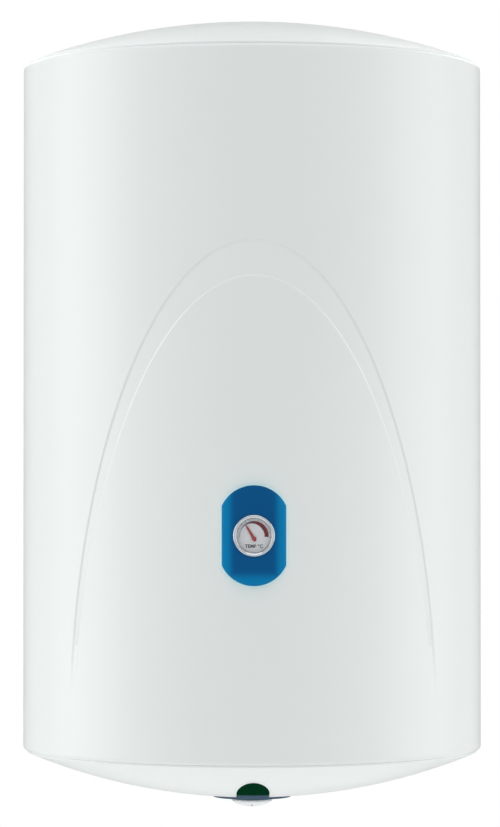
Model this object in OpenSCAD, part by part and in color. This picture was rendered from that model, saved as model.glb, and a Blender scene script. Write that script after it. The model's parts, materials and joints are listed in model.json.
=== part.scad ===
// Wall-hung electric storage water heater, upright, with a dial thermometer on its front.
// Everything is drawn on the heater's own axis with z = 0 at the casing's lower edge, front towards -Y,
// and placed() moves it so that the origin is the middle of the four wall fixings, on the wall plane.

/* [Casing] */
// Outer diameter of the painted casing
case_d = 450; // [360:1:560]
// Height of the painted casing
case_h = 670; // [520:1:900]
// Thickness of the casing sheet
sheet_t = 1; // [0.8:0.1:1.5]
// Outer radius where the sheet turns in at both ends
shoulder_r = 4; // [3:0.5:8]
// Width of the turned-in lip that a cover sits on
lip_w = 9; // [7:0.5:14]

/* [Arch pressed into the front] */
// Height of the outer arch's top above the casing's lower edge
arch_top = 487; // [400:1:600]
// Half width of the outer arch at its foot
arch_half_w = 173; // [140:1:176]
// Height of the arch's foot above the casing's lower edge
arch_foot = 40; // [30:1:80]
// Width of the pressed band at the arch's top
band_top_w = 32.5; // [20:0.5:45]
// Width of the pressed band at the arch's foot
band_foot_w = 4.5; // [4:0.5:10]
// Depth of the pressed band
band_depth = 1.5; // [1:0.1:2]

/* [Covers] */
// Rise of the top cover above the casing
top_rise = 42; // [30:1:60]
// Drop of the bottom cover below the casing
bottom_drop = 46.6; // [40:0.1:60]
// Wall of both covers
cover_t = 2.5; // [2:0.1:4]
// Height of the upright edge of a cover
brim_h = 2; // [1.5:0.1:4]
// Depth of the skirt that enters the casing
skirt_h = 14; // [8:0.5:18]

/* [Tank] */
// Distance from the casing's outer face to the steel tank
foam_t = 23; // [18:1:60]
// Wall of the tank
tank_t = 2; // [1.6:0.1:3]
// Height of the tank's lower head rim above the casing's lower edge
head_low = 85; // [70:1:110]
// Distance of the tank's upper head rim below the casing's upper edge
head_high_drop = 30; // [28:1:60]
// Bulge of each tank head
head_rise = 45; // [36:1:56]
// Thickness of the foam base ring
base_ring_t = 10; // [6:1:14]

/* [Flange and what it carries] */
// Radius of the service opening
flange_hole_r = 52; // [43:0.5:64]
// Width of the flange outside the service opening
flange_w = 23; // [22:0.5:30]
// Thickness of the flange plate
flange_t = 4; // [3:0.5:6]
// Thickness of the flange gasket
gasket_t = 3; // [2:0.5:4]
// Number of flange bolts
bolt_count = 6; // [4:1:8]
// Height of the heating element above the flange
element_h = 310; // [200:1:420]
// Length of the anode rod
anode_h = 265; // [150:1:400]
// Length of the thermostat pocket above the flange
pocket_h = 280; // [200:1:400]

/* [Badge and thermometer] */
// Height of the badge's middle above the casing's lower edge
badge_z = 213; // [160:1:260]
// Width of the blue badge
badge_w = 59; // [48:0.5:72]
// Height of the blue badge
badge_h = 92.6; // [80:0.1:120]
// How far the badge stands out in front of the casing
badge_proud = 7.5; // [7:0.1:10]
// Width of the pale rim round the badge
trim_w = 1.6; // [1:0.1:3]
// Outer radius of the thermometer's bezel
bezel_r = 19.3; // [16:0.1:24]
// Distance of the needle's pivot below the dial's centre
pivot_drop = 2.8; // [0:0.1:4]
// Room between the needle's tip and the housing where they are closest
needle_room = 0.4; // [0.3:0.1:3]
// Needle angle at rest, from straight up towards the left
needle_rest = 31; // [0:1:60]

/* [Controls under the heater] */
// Radius of the round control plate
plate_r = 38.5; // [30:0.5:48]
// Width of the tongue that runs from the plate towards the front
tongue_w = 31.2; // [26:0.1:38]
// Distance of the tongue's end from the axis
tongue_end = 110; // [90:1:135]
// Distance of the pilot window's front tip behind the casing's foremost line
window_edge = 49; // [42:1:62]
// Radius of the temperature knob
knob_r = 20; // [18:0.5:24]
// Height of the temperature knob
knob_h = 7.6; // [6:0.1:12]

/* [Water connections] */
// Distance between the hot and the cold connection
pipe_pitch = 100; // [90:1:120]
// Distance of both connections behind the axis
pipe_back = 95; // [78:1:115]
// Outer radius of a G 1/2 connection
pipe_r = 10.48; // [10.48:0.01:13.2]
// Length of thread at a connection's end
thread_l = 13; // [9:0.5:14]
// Bore radius of a connection
pipe_bore_r = 7.5; // [6:0.1:9]
// Length of connection that shows under the bottom cover
pipe_show = 17; // [13:0.5:30]

/* [Wall fixing] */
// Gap between the casing and the wall
wall_gap = 20; // [15:1:40]
// Distance between the slots across the wall
slot_pitch = 200; // [160:1:240]
// Distance between the upper and the lower slots
slot_rise = 370; // [300:1:420]
// Width of a slot
slot_w = 11; // [9:0.5:13]
// End to end length of a slot
slot_l = 22; // [16:0.5:26]
// Distance from the middle of a slot to the bracket's end
bracket_edge = 30; // [26:1:40]
// Height of a bracket
bracket_h = 60; // [40:1:80]
// Thickness of the bracket's steel
bracket_t = 3; // [2.5:0.5:4]

/* [Hidden] */
$fn = 180;

gap = 0.3;                 // air between neighbours that only lie against each other
weld = 0.15;               // gap that a weld or a braze closes
run = 0.06;                // radial clearance of a turning or sliding fit
screw_play = 0.15;         // radial clearance of a screw in its hole
over = 1;                  // how far a cutting shape runs past what it cuts

case_r = case_d / 2;
case_mid = case_h / 2;
axis_back = wall_gap + case_r;
tank_r = case_r - foam_t;
flange_r = flange_hole_r + flange_w;
bracket_w = slot_pitch + 2 * bracket_edge;
window_tip = case_r - window_edge;
ball_fn = 300;             // facets of the wide, shallow balls that the covers follow

// --- shared 2D and 3D helpers ------------------------------------------------------------------

function sphere_radius(base_r, rise) = (base_r * base_r + rise * rise) / (2 * rise);
function sphere_sag(ball_r, r) = ball_r - sqrt(ball_r * ball_r - r * r);

module placed() translate([0, -axis_back, -case_mid]) children();

// A round bar from z0 to z1 on a vertical axis through [x, y]
module bar(r, z0, z1, x = 0, y = 0) translate([x, y, z0]) cylinder(r = r, h = z1 - z0);

// A round bar from y0 to y1 on a front-to-back axis through [x, z]
module lying_bar(r, y0, y1, x = 0, z = 0) translate([x, y1, z]) rotate([90, 0, 0]) cylinder(r = r, h = y1 - y0);

module ring(r_out, r_in, z0, z1, x = 0, y = 0) difference() {
    bar(r_out, z0, z1, x, y);
    bar(r_in, z0 - over, z1 + over, x, y);
}

module lying_ring(r_out, r_in, y0, y1, x = 0, z = 0) difference() {
    lying_bar(r_out, y0, y1, x, z);
    lying_bar(r_in, y0 - over, y1 + over, x, z);
}

module hex_bar(corner_r, z0, z1, x = 0, y = 0)
    translate([x, y, z0]) cylinder(r = corner_r, h = z1 - z0, $fn = 6);

// A box with its low corner and its high corner
module box(low, high) translate(low) cube(high - low);

// An upright slab of a front view outline, from y0 to y1, lifted by z
module front_slab(y0, y1, z = 0) translate([0, y1, z]) rotate([90, 0, 0]) linear_extrude(y1 - y0) children();

// --- casing -------------------------------------------------------------------------------------

lip_r = case_r - lip_w;                 // radius of the open end inside the lip
arch_power = 1.86;                      // 2 is an ellipse, less is closer to a parabola
arch_steps = 36;

// Half width and height of an arch at the turn t, from 0 at its right foot to 180 at its left foot
function arch_point(half_w, top, foot, t) =
    [half_w * cos(t), foot + (top - foot) * pow(sin(t), 2 / arch_power)];

// The pressed band: outer arch one way, inner arch back, grown by `grow` on every side
module band_outline(grow) {
    foot = arch_foot - grow;
    outer = [for (i = [0:arch_steps])
        arch_point(arch_half_w + grow, arch_top + grow, foot, 180 * i / arch_steps)];
    inner = [for (i = [arch_steps:-1:0])
        arch_point(arch_half_w - band_foot_w - grow, arch_top - band_top_w - grow, foot, 180 * i / arch_steps)];
    polygon(concat(outer, inner));
}

// The casing's outer form, moved in by `inset`: a drum with round shoulders and the pressed band
module casing_form(inset) {
    r = case_r - inset;
    edge = shoulder_r - inset;
    low = inset;
    high = case_h - inset;
    difference() {
        rotate_extrude() union() {
            translate([0, low]) square([r - edge, high - low]);
            translate([0, low + edge]) square([r, high - low - 2 * edge]);
            translate([r - edge, low + edge]) circle(edge);
            translate([r - edge, high - edge]) circle(edge);
        }
        difference() {
            front_slab(-case_r - over, 0) band_outline(inset);
            bar(r - band_depth, -over, case_h + over);
        }
    }
}

module bracket_leg_holes(play) {
    for (side = [-1, 1], level = [-1, 1])
        box([side * leg_x - leg_t / 2 - play, 0, leg_z(level) - bracket_h / 2 - play],
            [side * leg_x + leg_t / 2 + play, case_r + over, leg_z(level) + bracket_h / 2 + play]);
}

module casing() color([0.86, 0.88, 0.87]) difference() {
    casing_form(0);
    casing_form(sheet_t);
    bar(lip_r, -over, case_h + over);
    lying_bar(housing_r + hole_play, -case_r - over, -tank_r, 0, badge_z);
    bracket_leg_holes(hole_play);
}

// --- covers -------------------------------------------------------------------------------------

brim_r = case_r - shoulder_r;           // the cover's edge ends where the shoulder begins
skirt_r = lip_r - gap;
top_ball_r = sphere_radius(brim_r, top_rise - brim_h);
bottom_ball_r = sphere_radius(brim_r, bottom_drop - brim_h);
top_ball_z = case_h + top_rise - top_ball_r;
bottom_ball_z = bottom_ball_r - bottom_drop;

// Height of the bottom cover's outer face at distance r from the axis
function under_z(r) = sphere_sag(bottom_ball_r, r) - bottom_drop;

// A cover seen as a top cover on z = 0: brim, domed wall and skirt, as one turned shape
module domed_cover(rise) {
    ball_r = sphere_radius(brim_r, rise - brim_h);
    rotate_extrude() difference() {
        union() {
            square([brim_r, brim_h]);
            intersection() {
                translate([0, rise - ball_r]) circle(ball_r);
                square([brim_r, rise]);
            }
            translate([0, -skirt_h]) square([skirt_r, skirt_h]);
        }
        intersection() {
            translate([0, rise - ball_r]) circle(ball_r - cover_t);
            translate([0, -skirt_h - over]) square([skirt_r - cover_t, rise + skirt_h]);
        }
    }
}

module top_cover() color([0.87, 0.89, 0.89]) translate([0, 0, case_h]) domed_cover(top_rise);

// Where the screws hold the bottom cover, as turns about the axis
screw_turns = [15, 90, 165];
screw_ring_r = lip_r - 23;
screw_boss_r = 8;
screw_head_r = 4.8;
screw_shank_r = 2.1;
screw_seat_z = -4;
boss_top_z = skirt_h + 1;

module at_screws() for (turn = screw_turns) rotate([0, 0, turn]) translate([screw_ring_r, 0, 0]) children();

// The pilot window's outline seen from below, grown by `grow`: a straight back edge, and a front whose
// height on the dome follows a half circle, so that it looks like one from the front
window_rim_w = 2.4;
window_rim_stand = 1;
window_back = tongue_end + window_rim_w + gap;
module window_outline(grow) {
    half_w = tongue_w / 2 + grow;
    near = window_back - grow;
    far = window_tip + grow;
    steps = 28;
    polygon([for (i = [0:steps]) [
        half_w * cos(180 * i / steps),
        -sqrt(near * near + (far * far - near * near) * sin(180 * i / steps))
    ]]);
}

module in_window_outline(grow) translate([0, 0, -bottom_drop - over])
    linear_extrude(bottom_drop + over) window_outline(grow);

module under_ball(stand) translate([0, 0, bottom_ball_z]) sphere(bottom_ball_r + stand, $fn = ball_fn);

gland_y = 150;
gland_r = 8;
gland_seat_z = under_z(gland_y) + 7;
pipe_plain_r = pipe_r - 0.4;
collar_sleeve_r = pipe_r + 3.2;
hub_hole_r = 7.5;

module at_pipes() for (side = [-1, 1]) translate([side * pipe_pitch / 2, pipe_back, 0]) children();

module bottom_cover() color([0.87, 0.89, 0.89]) difference() {
    union() {
        mirror([0, 0, 1]) domed_cover(bottom_drop);
        intersection() {
            union() {
                at_screws() bar(screw_boss_r, -bottom_drop, boss_top_z);
                bar(gland_r + 6, -bottom_drop, gland_seat_z, 0, gland_y);
            }
            under_ball(0);
        }
        difference() {
            intersection() {
                in_window_outline(window_rim_w);
                under_ball(window_rim_stand);
            }
            under_ball(-cover_t / 2);
        }
    }
    at_screws() {
        bar(screw_shank_r + screw_play, -bottom_drop, boss_top_z + over);
        bar(screw_head_r + 0.7, -bottom_drop, screw_seat_z);
    }
    in_window_outline(gap);
    at_pipes() bar(collar_sleeve_r + gap, -bottom_drop - over, 0);
    bar(gland_r + screw_play, -bottom_drop, gland_seat_z + over, 0, gland_y);
    bar(hub_hole_r, -bottom_drop - over, 0);
}

lug_t = 2;
lug_half_w = 12;
lug_low = boss_top_z + gap;
screw_tip_z = lug_low + lug_t + 1.7;
base_ring_low = screw_tip_z + 1;        // the foam's base ring lies above the screws

module cover_screws() color([0.75, 0.76, 0.78]) at_screws() difference() {
    union() {
        bar(screw_shank_r, screw_seat_z - over, screw_tip_z);
        intersection() {
            bar(screw_head_r, screw_seat_z - 3.2, screw_seat_z);
            translate([0, 0, screw_seat_z + 2]) sphere(7);
        }
    }
    for (turn = [0, 90])
        rotate([0, 0, turn]) box([-2.6, -0.5, screw_seat_z - 4], [2.6, 0.5, screw_seat_z - 2.2]);
}

module cover_lugs() color([0.6, 0.62, 0.64])
    for (turn = screw_turns) rotate([0, 0, turn]) intersection() {
        difference() {
            union() {
                box([screw_ring_r - 9, -lug_half_w, lug_low], [case_r, lug_half_w, lug_low + lug_t]);
                box([case_r - sheet_t - 4, -lug_half_w, lug_low], [case_r, lug_half_w, lug_low + base_ring_t]);
            }
            bar(screw_shank_r + screw_play, lug_low - over, lug_low + lug_t + over, screw_ring_r);
        }
        bar(case_r - sheet_t - weld, 0, case_h);
    }

// --- badge and dial thermometer -----------------------------------------------------------------

hole_play = 0.6;
bezel_wall = 1.7;
housing_r = bezel_r - bezel_wall - 0.2;
housing_wall = 1.2;
front_y = -case_r;                                  // foremost line of the casing
badge_face_y = front_y - badge_proud;
badge_bow_r = 85;                                   // radius of the badge's bowed face
bezel_face_y = badge_face_y - 2;
bezel_seat_y = badge_face_y + 2.7;
lens_y = bezel_face_y + 1.1;
lens_t = 1.5;
housing_front_y = lens_y + lens_t + 0.1;
housing_back_y = -tank_r - 6;
dial_y = housing_front_y + 2.4;
dial_t = 0.5;
needle_y = dial_y - 1.4;
needle_t = 0.6;
shaft_r = 0.8;
pivot_z = badge_z - pivot_drop;
needle_l = sqrt(pow(housing_r - housing_wall - needle_room, 2) - pow(pivot_drop, 2));

// Front view outline of the badge: two round ends cut off by straight sides
module badge_outline(grow) {
    end_r = badge_w / 2 + 3 + grow;
    half_w = badge_w / 2 + grow;
    half_h = badge_h / 2 + grow;
    intersection() {
        square([2 * half_w, 2 * half_h], center = true);
        union() {
            for (side = [-1, 1]) translate([0, side * (half_h - end_r)]) circle(end_r);
            square([2 * end_r, 2 * (half_h - end_r)], center = true);
        }
    }
}

module bowed_front(proud) bar(badge_bow_r, 0, case_h, 0, front_y - proud + badge_bow_r);

module badge_panel() color([0.0, 0.36, 0.62]) difference() {
    intersection() {
        front_slab(badge_face_y - over, front_y + 20, badge_z) badge_outline(0);
        bowed_front(badge_proud);
    }
    bar(case_r + gap, 0, case_h);
    lying_bar(housing_r + hole_play, badge_face_y - over, 0, 0, badge_z);
    lying_bar(bezel_r + 0.2, badge_face_y - over, bezel_seat_y, 0, badge_z);
}

module badge_trim() color([0.62, 0.87, 0.95]) difference() {
    intersection() {
        front_slab(badge_face_y - over, front_y + 20, badge_z) badge_outline(trim_w);
        bowed_front(badge_proud - 1);
    }
    front_slab(badge_face_y - 2 * over, front_y + 21, badge_z) badge_outline(0.1);
    bar(case_r + gap, 0, case_h);
}

module gauge_bezel() color([0.8, 0.82, 0.85]) difference() {
    lying_bar(bezel_r, bezel_face_y, bezel_seat_y - 0.1, 0, badge_z);
    lying_bar(housing_r + 0.2, bezel_face_y + 1, bezel_seat_y + over, 0, badge_z);
    lying_bar(housing_r - 0.6, bezel_face_y - over, bezel_face_y + 2, 0, badge_z);
}

module gauge_lens() color([0.9, 0.95, 1, 0.3]) lying_bar(housing_r, lens_y, lens_y + lens_t, 0, badge_z);

module gauge_housing() color([0.16, 0.17, 0.18]) {
    boss_front_y = housing_back_y - 5;
    difference() {
        union() {
            difference() {
                lying_bar(housing_r, housing_front_y, housing_back_y, 0, badge_z);
                lying_bar(housing_r - housing_wall, housing_front_y - over, dial_y + dial_t, 0, badge_z);
                lying_bar(housing_r - 2 * housing_wall, dial_y - over, housing_back_y - 1.5, 0, badge_z);
            }
            lying_bar(2.4, boss_front_y, housing_back_y - 1, 0, pivot_z);
        }
        lying_bar(shaft_r + run, boss_front_y - over, housing_back_y - 2, 0, pivot_z);
    }
}

module gauge_dial() color([0.93, 0.93, 0.92])
    difference() {
        lying_bar(housing_r - housing_wall - 0.1, dial_y, dial_y + dial_t - 0.02, 0, badge_z);
        lying_bar(shaft_r + 0.4, dial_y - over, dial_y + 2, 0, pivot_z);
    }

// The needle points straight up before it is turned to its rest angle about the pivot
module gauge_needle() color([0.75, 0.05, 0.08])
    translate([0, 0, pivot_z]) rotate([0, -needle_rest, 0]) difference() {
        union() {
            front_slab(needle_y, needle_y + needle_t)
                polygon([[0, needle_l], [1.4, 2.4], [1.1, -2.6], [-1.1, -2.6], [-1.4, 2.4]]);
            lying_bar(2, needle_y - 0.3, needle_y + needle_t);
        }
        lying_bar(shaft_r + 0.02, needle_y - over, needle_y + needle_t + over);
    }

module gauge_shaft() color([0.72, 0.6, 0.3])
    lying_bar(shaft_r, needle_y - 0.3, housing_back_y - 2.5, 0, pivot_z);

// A flat spiral of thin strip that turns the shaft as it warms
coil_turns = 4;
coil_steps = 20;
coil_strip_t = 0.5;
coil_in_r = shaft_r + 0.9;
coil_out_r = housing_r - 2 * housing_wall - pivot_drop - 0.8;
coil_last = coil_turns * coil_steps;
function coil_at(i, side) = (coil_in_r + (coil_out_r - coil_in_r) * i / coil_last + side)
    * [cos(360 * i / coil_steps), sin(360 * i / coil_steps)];

module bimetal_coil() color([0.72, 0.5, 0.3])
    front_slab(housing_back_y - 13, housing_back_y - 8, pivot_z) polygon(concat(
        [for (i = [0:coil_last]) coil_at(i, 0)],
        [for (i = [coil_last:-1:0]) coil_at(i, coil_strip_t)]
    ));

module heat_contact() color([0.78, 0.5, 0.32]) difference() {
    lying_bar(12, housing_back_y + 0.05, -tank_r + 4, 0, badge_z);
    bar(tank_r + weld, 0, case_h);
}

// --- tank and insulation ------------------------------------------------------------------------

head_high = case_h - head_high_drop;
head_r = tank_r - tank_t - weld;                    // a head's skirt fits inside the shell
head_ball_r = sphere_radius(head_r, head_rise);
head_skirt_h = 25;
shell_past = 15;                                    // the shell runs this far past each head's rim
tank_bottom_z = head_low - head_rise;

module tank_shell() color([0.32, 0.36, 0.4])
    ring(tank_r, tank_r - tank_t, head_low - shell_past, head_high + shell_past);

// A head seen as a top head with its rim on z = 0
module tank_head() rotate_extrude() difference() {
    intersection() {
        translate([0, head_rise - head_ball_r]) circle(head_ball_r);
        translate([0, -head_skirt_h]) square([head_r, head_rise + head_skirt_h]);
    }
    intersection() {
        translate([0, head_rise - head_ball_r]) circle(head_ball_r - tank_t);
        translate([0, -head_skirt_h - over]) square([head_r - tank_t, head_rise + head_skirt_h]);
    }
}

module tank_top_head() color([0.3, 0.34, 0.38]) translate([0, 0, head_high]) tank_head();

module tank_bottom_head() color([0.3, 0.34, 0.38]) difference() {
    translate([0, 0, head_low]) mirror([0, 0, 1]) tank_head();
    bar(flange_hole_r, 0, head_low);
    at_pipes() bar(pipe_plain_r + weld, 0, head_low);
}

// Everything the foam leaves free inside: the tank with its heads
module tank_space() {
    bar(tank_r + gap, head_low - shell_past - gap, head_high + shell_past + gap);
    for (end = [[head_low, 1], [head_high, 0]]) translate([0, 0, end[0]]) mirror([0, 0, end[1]])
        rotate_extrude() intersection() {
            translate([0, head_rise - head_ball_r]) circle(head_ball_r + gap);
            square([head_r + gap, head_rise + gap]);
        }
}

foam_low = base_ring_low + base_ring_t;
well_r = flange_r + 15;

module insulation() color([0.86, 0.78, 0.5]) difference() {
    union() {
        intersection() {
            casing_form(sheet_t + gap);
            bar(case_r, foam_low, case_h - skirt_h - gap);
        }
        bar(skirt_r - cover_t - gap, case_h - skirt_h - over, case_h);
        intersection() {
            translate([0, 0, top_ball_z]) sphere(top_ball_r - cover_t - gap);
            bar(skirt_r - cover_t - gap, case_h - over, case_h + top_rise);
        }
    }
    tank_space();
    bar(well_r, 0, head_low);
    at_pipes() bar(pipe_plain_r + gap, 0, head_low);
    lying_bar(housing_r + hole_play, -case_r, -tank_r + 5, 0, badge_z);
    bracket_leg_holes(gap);
}

module insulation_base() color([0.95, 0.95, 0.95]) difference() {
    ring(case_r - sheet_t - 6, well_r, base_ring_low, foam_low - gap);
    at_pipes() bar(pipe_plain_r + gap, 0, head_low);
}

// --- flange, element, anode and thermostat ------------------------------------------------------

ring_low = tank_bottom_z - 14;
plate_top = ring_low - gasket_t;
plate_low = plate_top - flange_t;
bolt_ring_r = flange_hole_r + 14;
bolt_r = 4;
bolt_head_h = 5.3;
bolt_corner_r = 7.4;

module at_bolts() for (i = [0:bolt_count - 1])
    rotate([0, 0, 360 * (i + 0.5) / bolt_count]) translate([bolt_ring_r, 0, 0]) children();

module tank_flange_ring() color([0.36, 0.4, 0.44]) difference() {
    ring(flange_r, flange_hole_r, ring_low, head_low);
    translate([0, 0, head_low - head_rise + head_ball_r]) sphere(head_ball_r + weld);
    at_bolts() bar(bolt_r + screw_play, ring_low - over, ring_low + 13);
}

module flange_gasket() color([0.08, 0.08, 0.09]) ring(flange_hole_r + 6.5, flange_hole_r, plate_top, ring_low);

leg_pitch = 20;                                     // between neighbouring legs of the element
leg_row_y = -flange_hole_r / 2;
element_r = 4;
function element_leg_x(i) = (i - 1.5) * leg_pitch;
anode_r = 10.5;
anode_y = flange_hole_r - anode_r - 5.5;
anode_stud_r = 4;
pocket_r = 6;
earth_at = [-44, 12];
earth_r = 2.5;
leg_end_z = plate_low - 7;

module heater_flange() color([0.7, 0.72, 0.74]) difference() {
    bar(flange_r, plate_low, plate_top);
    at_bolts() bar(bolt_r + 0.4, plate_low - over, plate_top + over);
    bar(pocket_r + weld, plate_low - over, plate_top + over);
    for (i = [0, 3]) bar(element_r + weld, plate_low - over, plate_top + over, element_leg_x(i), leg_row_y);
    bar(anode_stud_r + screw_play, plate_low - over, plate_top + over, 0, anode_y);
    bar(earth_r + weld, plate_low - over, plate_top + over, earth_at[0], earth_at[1]);
}

module flange_bolts() color([0.75, 0.76, 0.78]) at_bolts() {
    hex_bar(bolt_corner_r, plate_low - bolt_head_h, plate_low);
    bar(bolt_r, plate_low - over, ring_low + 12);
}

// A half turn of tube between two legs, on top of them (up = 1) or below them (up = -1)
module half_turn(x, z, up) translate([x, leg_row_y, z]) rotate([90 * up, 0, 0]) rotate_extrude(angle = 180)
    translate([leg_pitch / 2, 0]) circle(element_r);

module heating_element() color([0.72, 0.45, 0.3]) {
    top = plate_top + element_h - leg_pitch / 2;
    low = plate_top + 55;
    for (i = [0, 3]) bar(element_r, leg_end_z, top, element_leg_x(i), leg_row_y);
    for (i = [1, 2]) bar(element_r, low, top, element_leg_x(i), leg_row_y);
    half_turn((element_leg_x(0) + element_leg_x(1)) / 2, top, 1);
    half_turn((element_leg_x(2) + element_leg_x(3)) / 2, top, 1);
    half_turn(0, low, -1);
}

wire_z = leg_end_z - 8;                             // height at which every wire starts and ends

module element_terminals() color([0.9, 0.88, 0.82]) for (i = [0, 3]) {
    bar(element_r + 1, leg_end_z - 3, leg_end_z, element_leg_x(i), leg_row_y);
    bar(2, wire_z - 2, leg_end_z - 2, element_leg_x(i), leg_row_y);
}

module anode_rod() color([0.72, 0.73, 0.74]) difference() {
    bar(anode_r, plate_top + 12, plate_top + 12 + anode_h, 0, anode_y);
    bar(anode_stud_r + weld, plate_top, plate_top + 45, 0, anode_y);
}

module anode_stud() color([0.6, 0.62, 0.65]) {
    bar(anode_stud_r, plate_low - 10, plate_top + 44, 0, anode_y);
    bar(7, plate_top, plate_top + 4, 0, anode_y);
}

module anode_nut() color([0.75, 0.76, 0.78]) difference() {
    hex_bar(bolt_corner_r, plate_low - 6.5, plate_low, 0, anode_y);
    bar(anode_stud_r + screw_play, plate_low - 8, plate_low + over, 0, anode_y);
}

module earth_stud() color([0.78, 0.66, 0.3]) {
    bar(earth_r, wire_z - 2, plate_top, earth_at[0], earth_at[1]);
    hex_bar(4.6, plate_low - 4, plate_low, earth_at[0], earth_at[1]);
}

module thermostat_pocket() color([0.66, 0.68, 0.7]) difference() {
    bar(pocket_r, plate_low, plate_top + pocket_h);
    bar(pocket_r - 1, plate_low - over, plate_top + pocket_h - 1.5);
}

module thermostat_rod() color([0.78, 0.79, 0.8]) bar(3.2, plate_low - 3.5, plate_top + pocket_h - 15);

body_r = 24;
body_top = plate_low - 4;
body_low = body_top - 36;
body_half_d = 18;
button_at = [14, 5];
button_r = 2.6;
button_travel = 1.5;
button_show = 3;
spindle_r = 3;

module thermostat_body() color([0.85, 0.83, 0.76]) difference() {
    union() {
        intersection() {
            bar(body_r, body_low, body_top);
            box([-body_r, -body_half_d, body_low], [body_r, body_half_d, body_top]);
        }
        bar(9, body_top - over, plate_low - 0.1);
    }
    bar(3.2 + screw_play, body_top - 6, plate_low + over);
    bar(spindle_r + run, body_low - over, body_low + 16);
    bar(button_r + run, body_low - over, body_low + 10, button_at[0], button_at[1]);
}

tab_x = 8;
module thermostat_tabs() color([0.8, 0.68, 0.35]) for (x = [-tab_x, tab_x], side = [-1, 1])
    box([x - 3.2, side * (body_half_d + 3) - 3, wire_z - 0.4],
        [x + 3.2, side * (body_half_d + 3) + 3, wire_z + 0.4]);

module reset_button() color([0.75, 0.08, 0.08])
    bar(button_r, body_low - button_show, body_low + 10 - button_travel - 1, button_at[0], button_at[1]);

// --- controls under the heater ------------------------------------------------------------------

control_stand = 2.4;                                // how far the control plate stands below the cover
knob_top_z = -bottom_drop - control_stand - 0.8;
knob_low_z = knob_top_z - knob_h;
knob_edge_h = 2;
hub_r = 6;
hub_top_z = -bottom_drop + 8;
flute_count = 30;

module knob_spindle() color([0.8, 0.8, 0.78]) bar(spindle_r, knob_top_z - 3, body_low + 14);

module temperature_knob() color([0.9, 0.91, 0.91]) {
    dome = knob_h - knob_edge_h;
    ball_r = sphere_radius(knob_r, dome);
    difference() {
        union() {
            bar(knob_r, knob_top_z - knob_edge_h, knob_top_z);
            intersection() {
                translate([0, 0, knob_low_z + ball_r]) sphere(ball_r);
                bar(knob_r, knob_low_z, knob_top_z - knob_edge_h);
            }
            bar(hub_r, knob_top_z - over, hub_top_z);
        }
        bar(spindle_r + 0.02, knob_top_z - 3.5, hub_top_z + over);
        for (i = [0:flute_count - 1]) rotate([0, 0, 360 * i / flute_count])
            bar(1, knob_low_z - over, knob_top_z + over, knob_r + 0.6);
        pointer_slot(0.05);
    }
}

module pointer_slot(play)
    box([-0.9 - play, -knob_r + 3 - play, knob_low_z - over], [0.9 + play, -7 + play, knob_low_z + 3]);

module knob_pointer() color([0.1, 0.3, 0.55]) intersection() {
    pointer_slot(0);
    translate([0, 0, knob_low_z + 39]) sphere(39);
}

module control_plate() color([0.2, 0.25, 0.36]) difference() {
    intersection() {
        under_ball(control_stand);
        union() {
            bar(plate_r, -bottom_drop - 5, 0);
            box([-tongue_w / 2 - 1, -tongue_end, -bottom_drop - 5], [tongue_w / 2 + 1, 0, 0]);
        }
    }
    under_ball(0.1);
    bar(hub_hole_r, -bottom_drop - 6, over);
}

module pilot_window() color([0.0, 0.2, 0.1, 0.9]) difference() {
    intersection() {
        in_window_outline(0);
        under_ball(window_rim_stand + 0.6);
    }
    under_ball(-cover_t - 0.5);
}

lamp_y = -(window_back + window_tip) / 2 + 5;
lamp_seat_z = under_z(-lamp_y) + cover_t + 3.5;
module lamp_holder() color([0.2, 0.2, 0.21]) difference() {
    union() {
        ring(8, 5.2, lamp_seat_z, lamp_seat_z + 12, 0, lamp_y);
        box([-22, lamp_y - 5, lamp_seat_z + 4], [22, lamp_y + 5, lamp_seat_z + 8]);
        for (side = [-1, 1])
            intersection() {
                box([side * 20 - 2, lamp_y - 5, -bottom_drop], [side * 20 + 2, lamp_y + 5, lamp_seat_z + 8]);
                bar(case_r, -bottom_drop, 0);
            }
    }
    bar(5.2, lamp_seat_z - over, lamp_seat_z + 13, 0, lamp_y);
    difference() {
        bar(case_r, -bottom_drop - over, 0);
        under_ball(-cover_t - 0.1);
    }
}

module pilot_lamp() color([0.55, 0.9, 0.6]) {
    bar(4.9, lamp_seat_z + 3, lamp_seat_z + 15, 0, lamp_y);
    translate([0, lamp_y, lamp_seat_z + 3]) sphere(4.9);
    for (side = [-1, 1]) bar(1, lamp_seat_z + 14, wire_z + 2, side * 3, lamp_y);
}

// --- water connections --------------------------------------------------------------------------

pipe_r_from_axis = norm([pipe_pitch / 2, pipe_back]);
collar_z = under_z(pipe_r_from_axis);
nipple_low = collar_z - pipe_show;
nipple_top = head_low - head_rise + sphere_sag(head_ball_r, pipe_r_from_axis) + 12;
hot_x = -pipe_pitch / 2;
cold_x = pipe_pitch / 2;

module nipple(x) {
    ring(pipe_r, pipe_bore_r, nipple_low, nipple_low + thread_l, x, pipe_back);
    ring(pipe_plain_r, pipe_bore_r, nipple_low + thread_l - over, nipple_top, x, pipe_back);
}
module hot_nipple() color([0.78, 0.79, 0.81]) nipple(hot_x);
module cold_nipple() color([0.78, 0.79, 0.81]) nipple(cold_x);

// A coloured ring that closes the cover round a connection
collar_stand = 3;
module collar(x) difference() {
    union() {
        difference() {
            bar(collar_sleeve_r + 3, collar_z - collar_stand, 0, x, pipe_back);
            under_ball(0.1);
        }
        intersection() {
            bar(collar_sleeve_r, collar_z - collar_stand, collar_z + 7, x, pipe_back);
            under_ball(over);
        }
    }
    bar(pipe_r + 0.2, -bottom_drop - 10, over, x, pipe_back);
}
module hot_collar() color([0.8, 0.1, 0.1]) collar(hot_x);
module cold_collar() color([0.1, 0.25, 0.75]) collar(cold_x);

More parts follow.
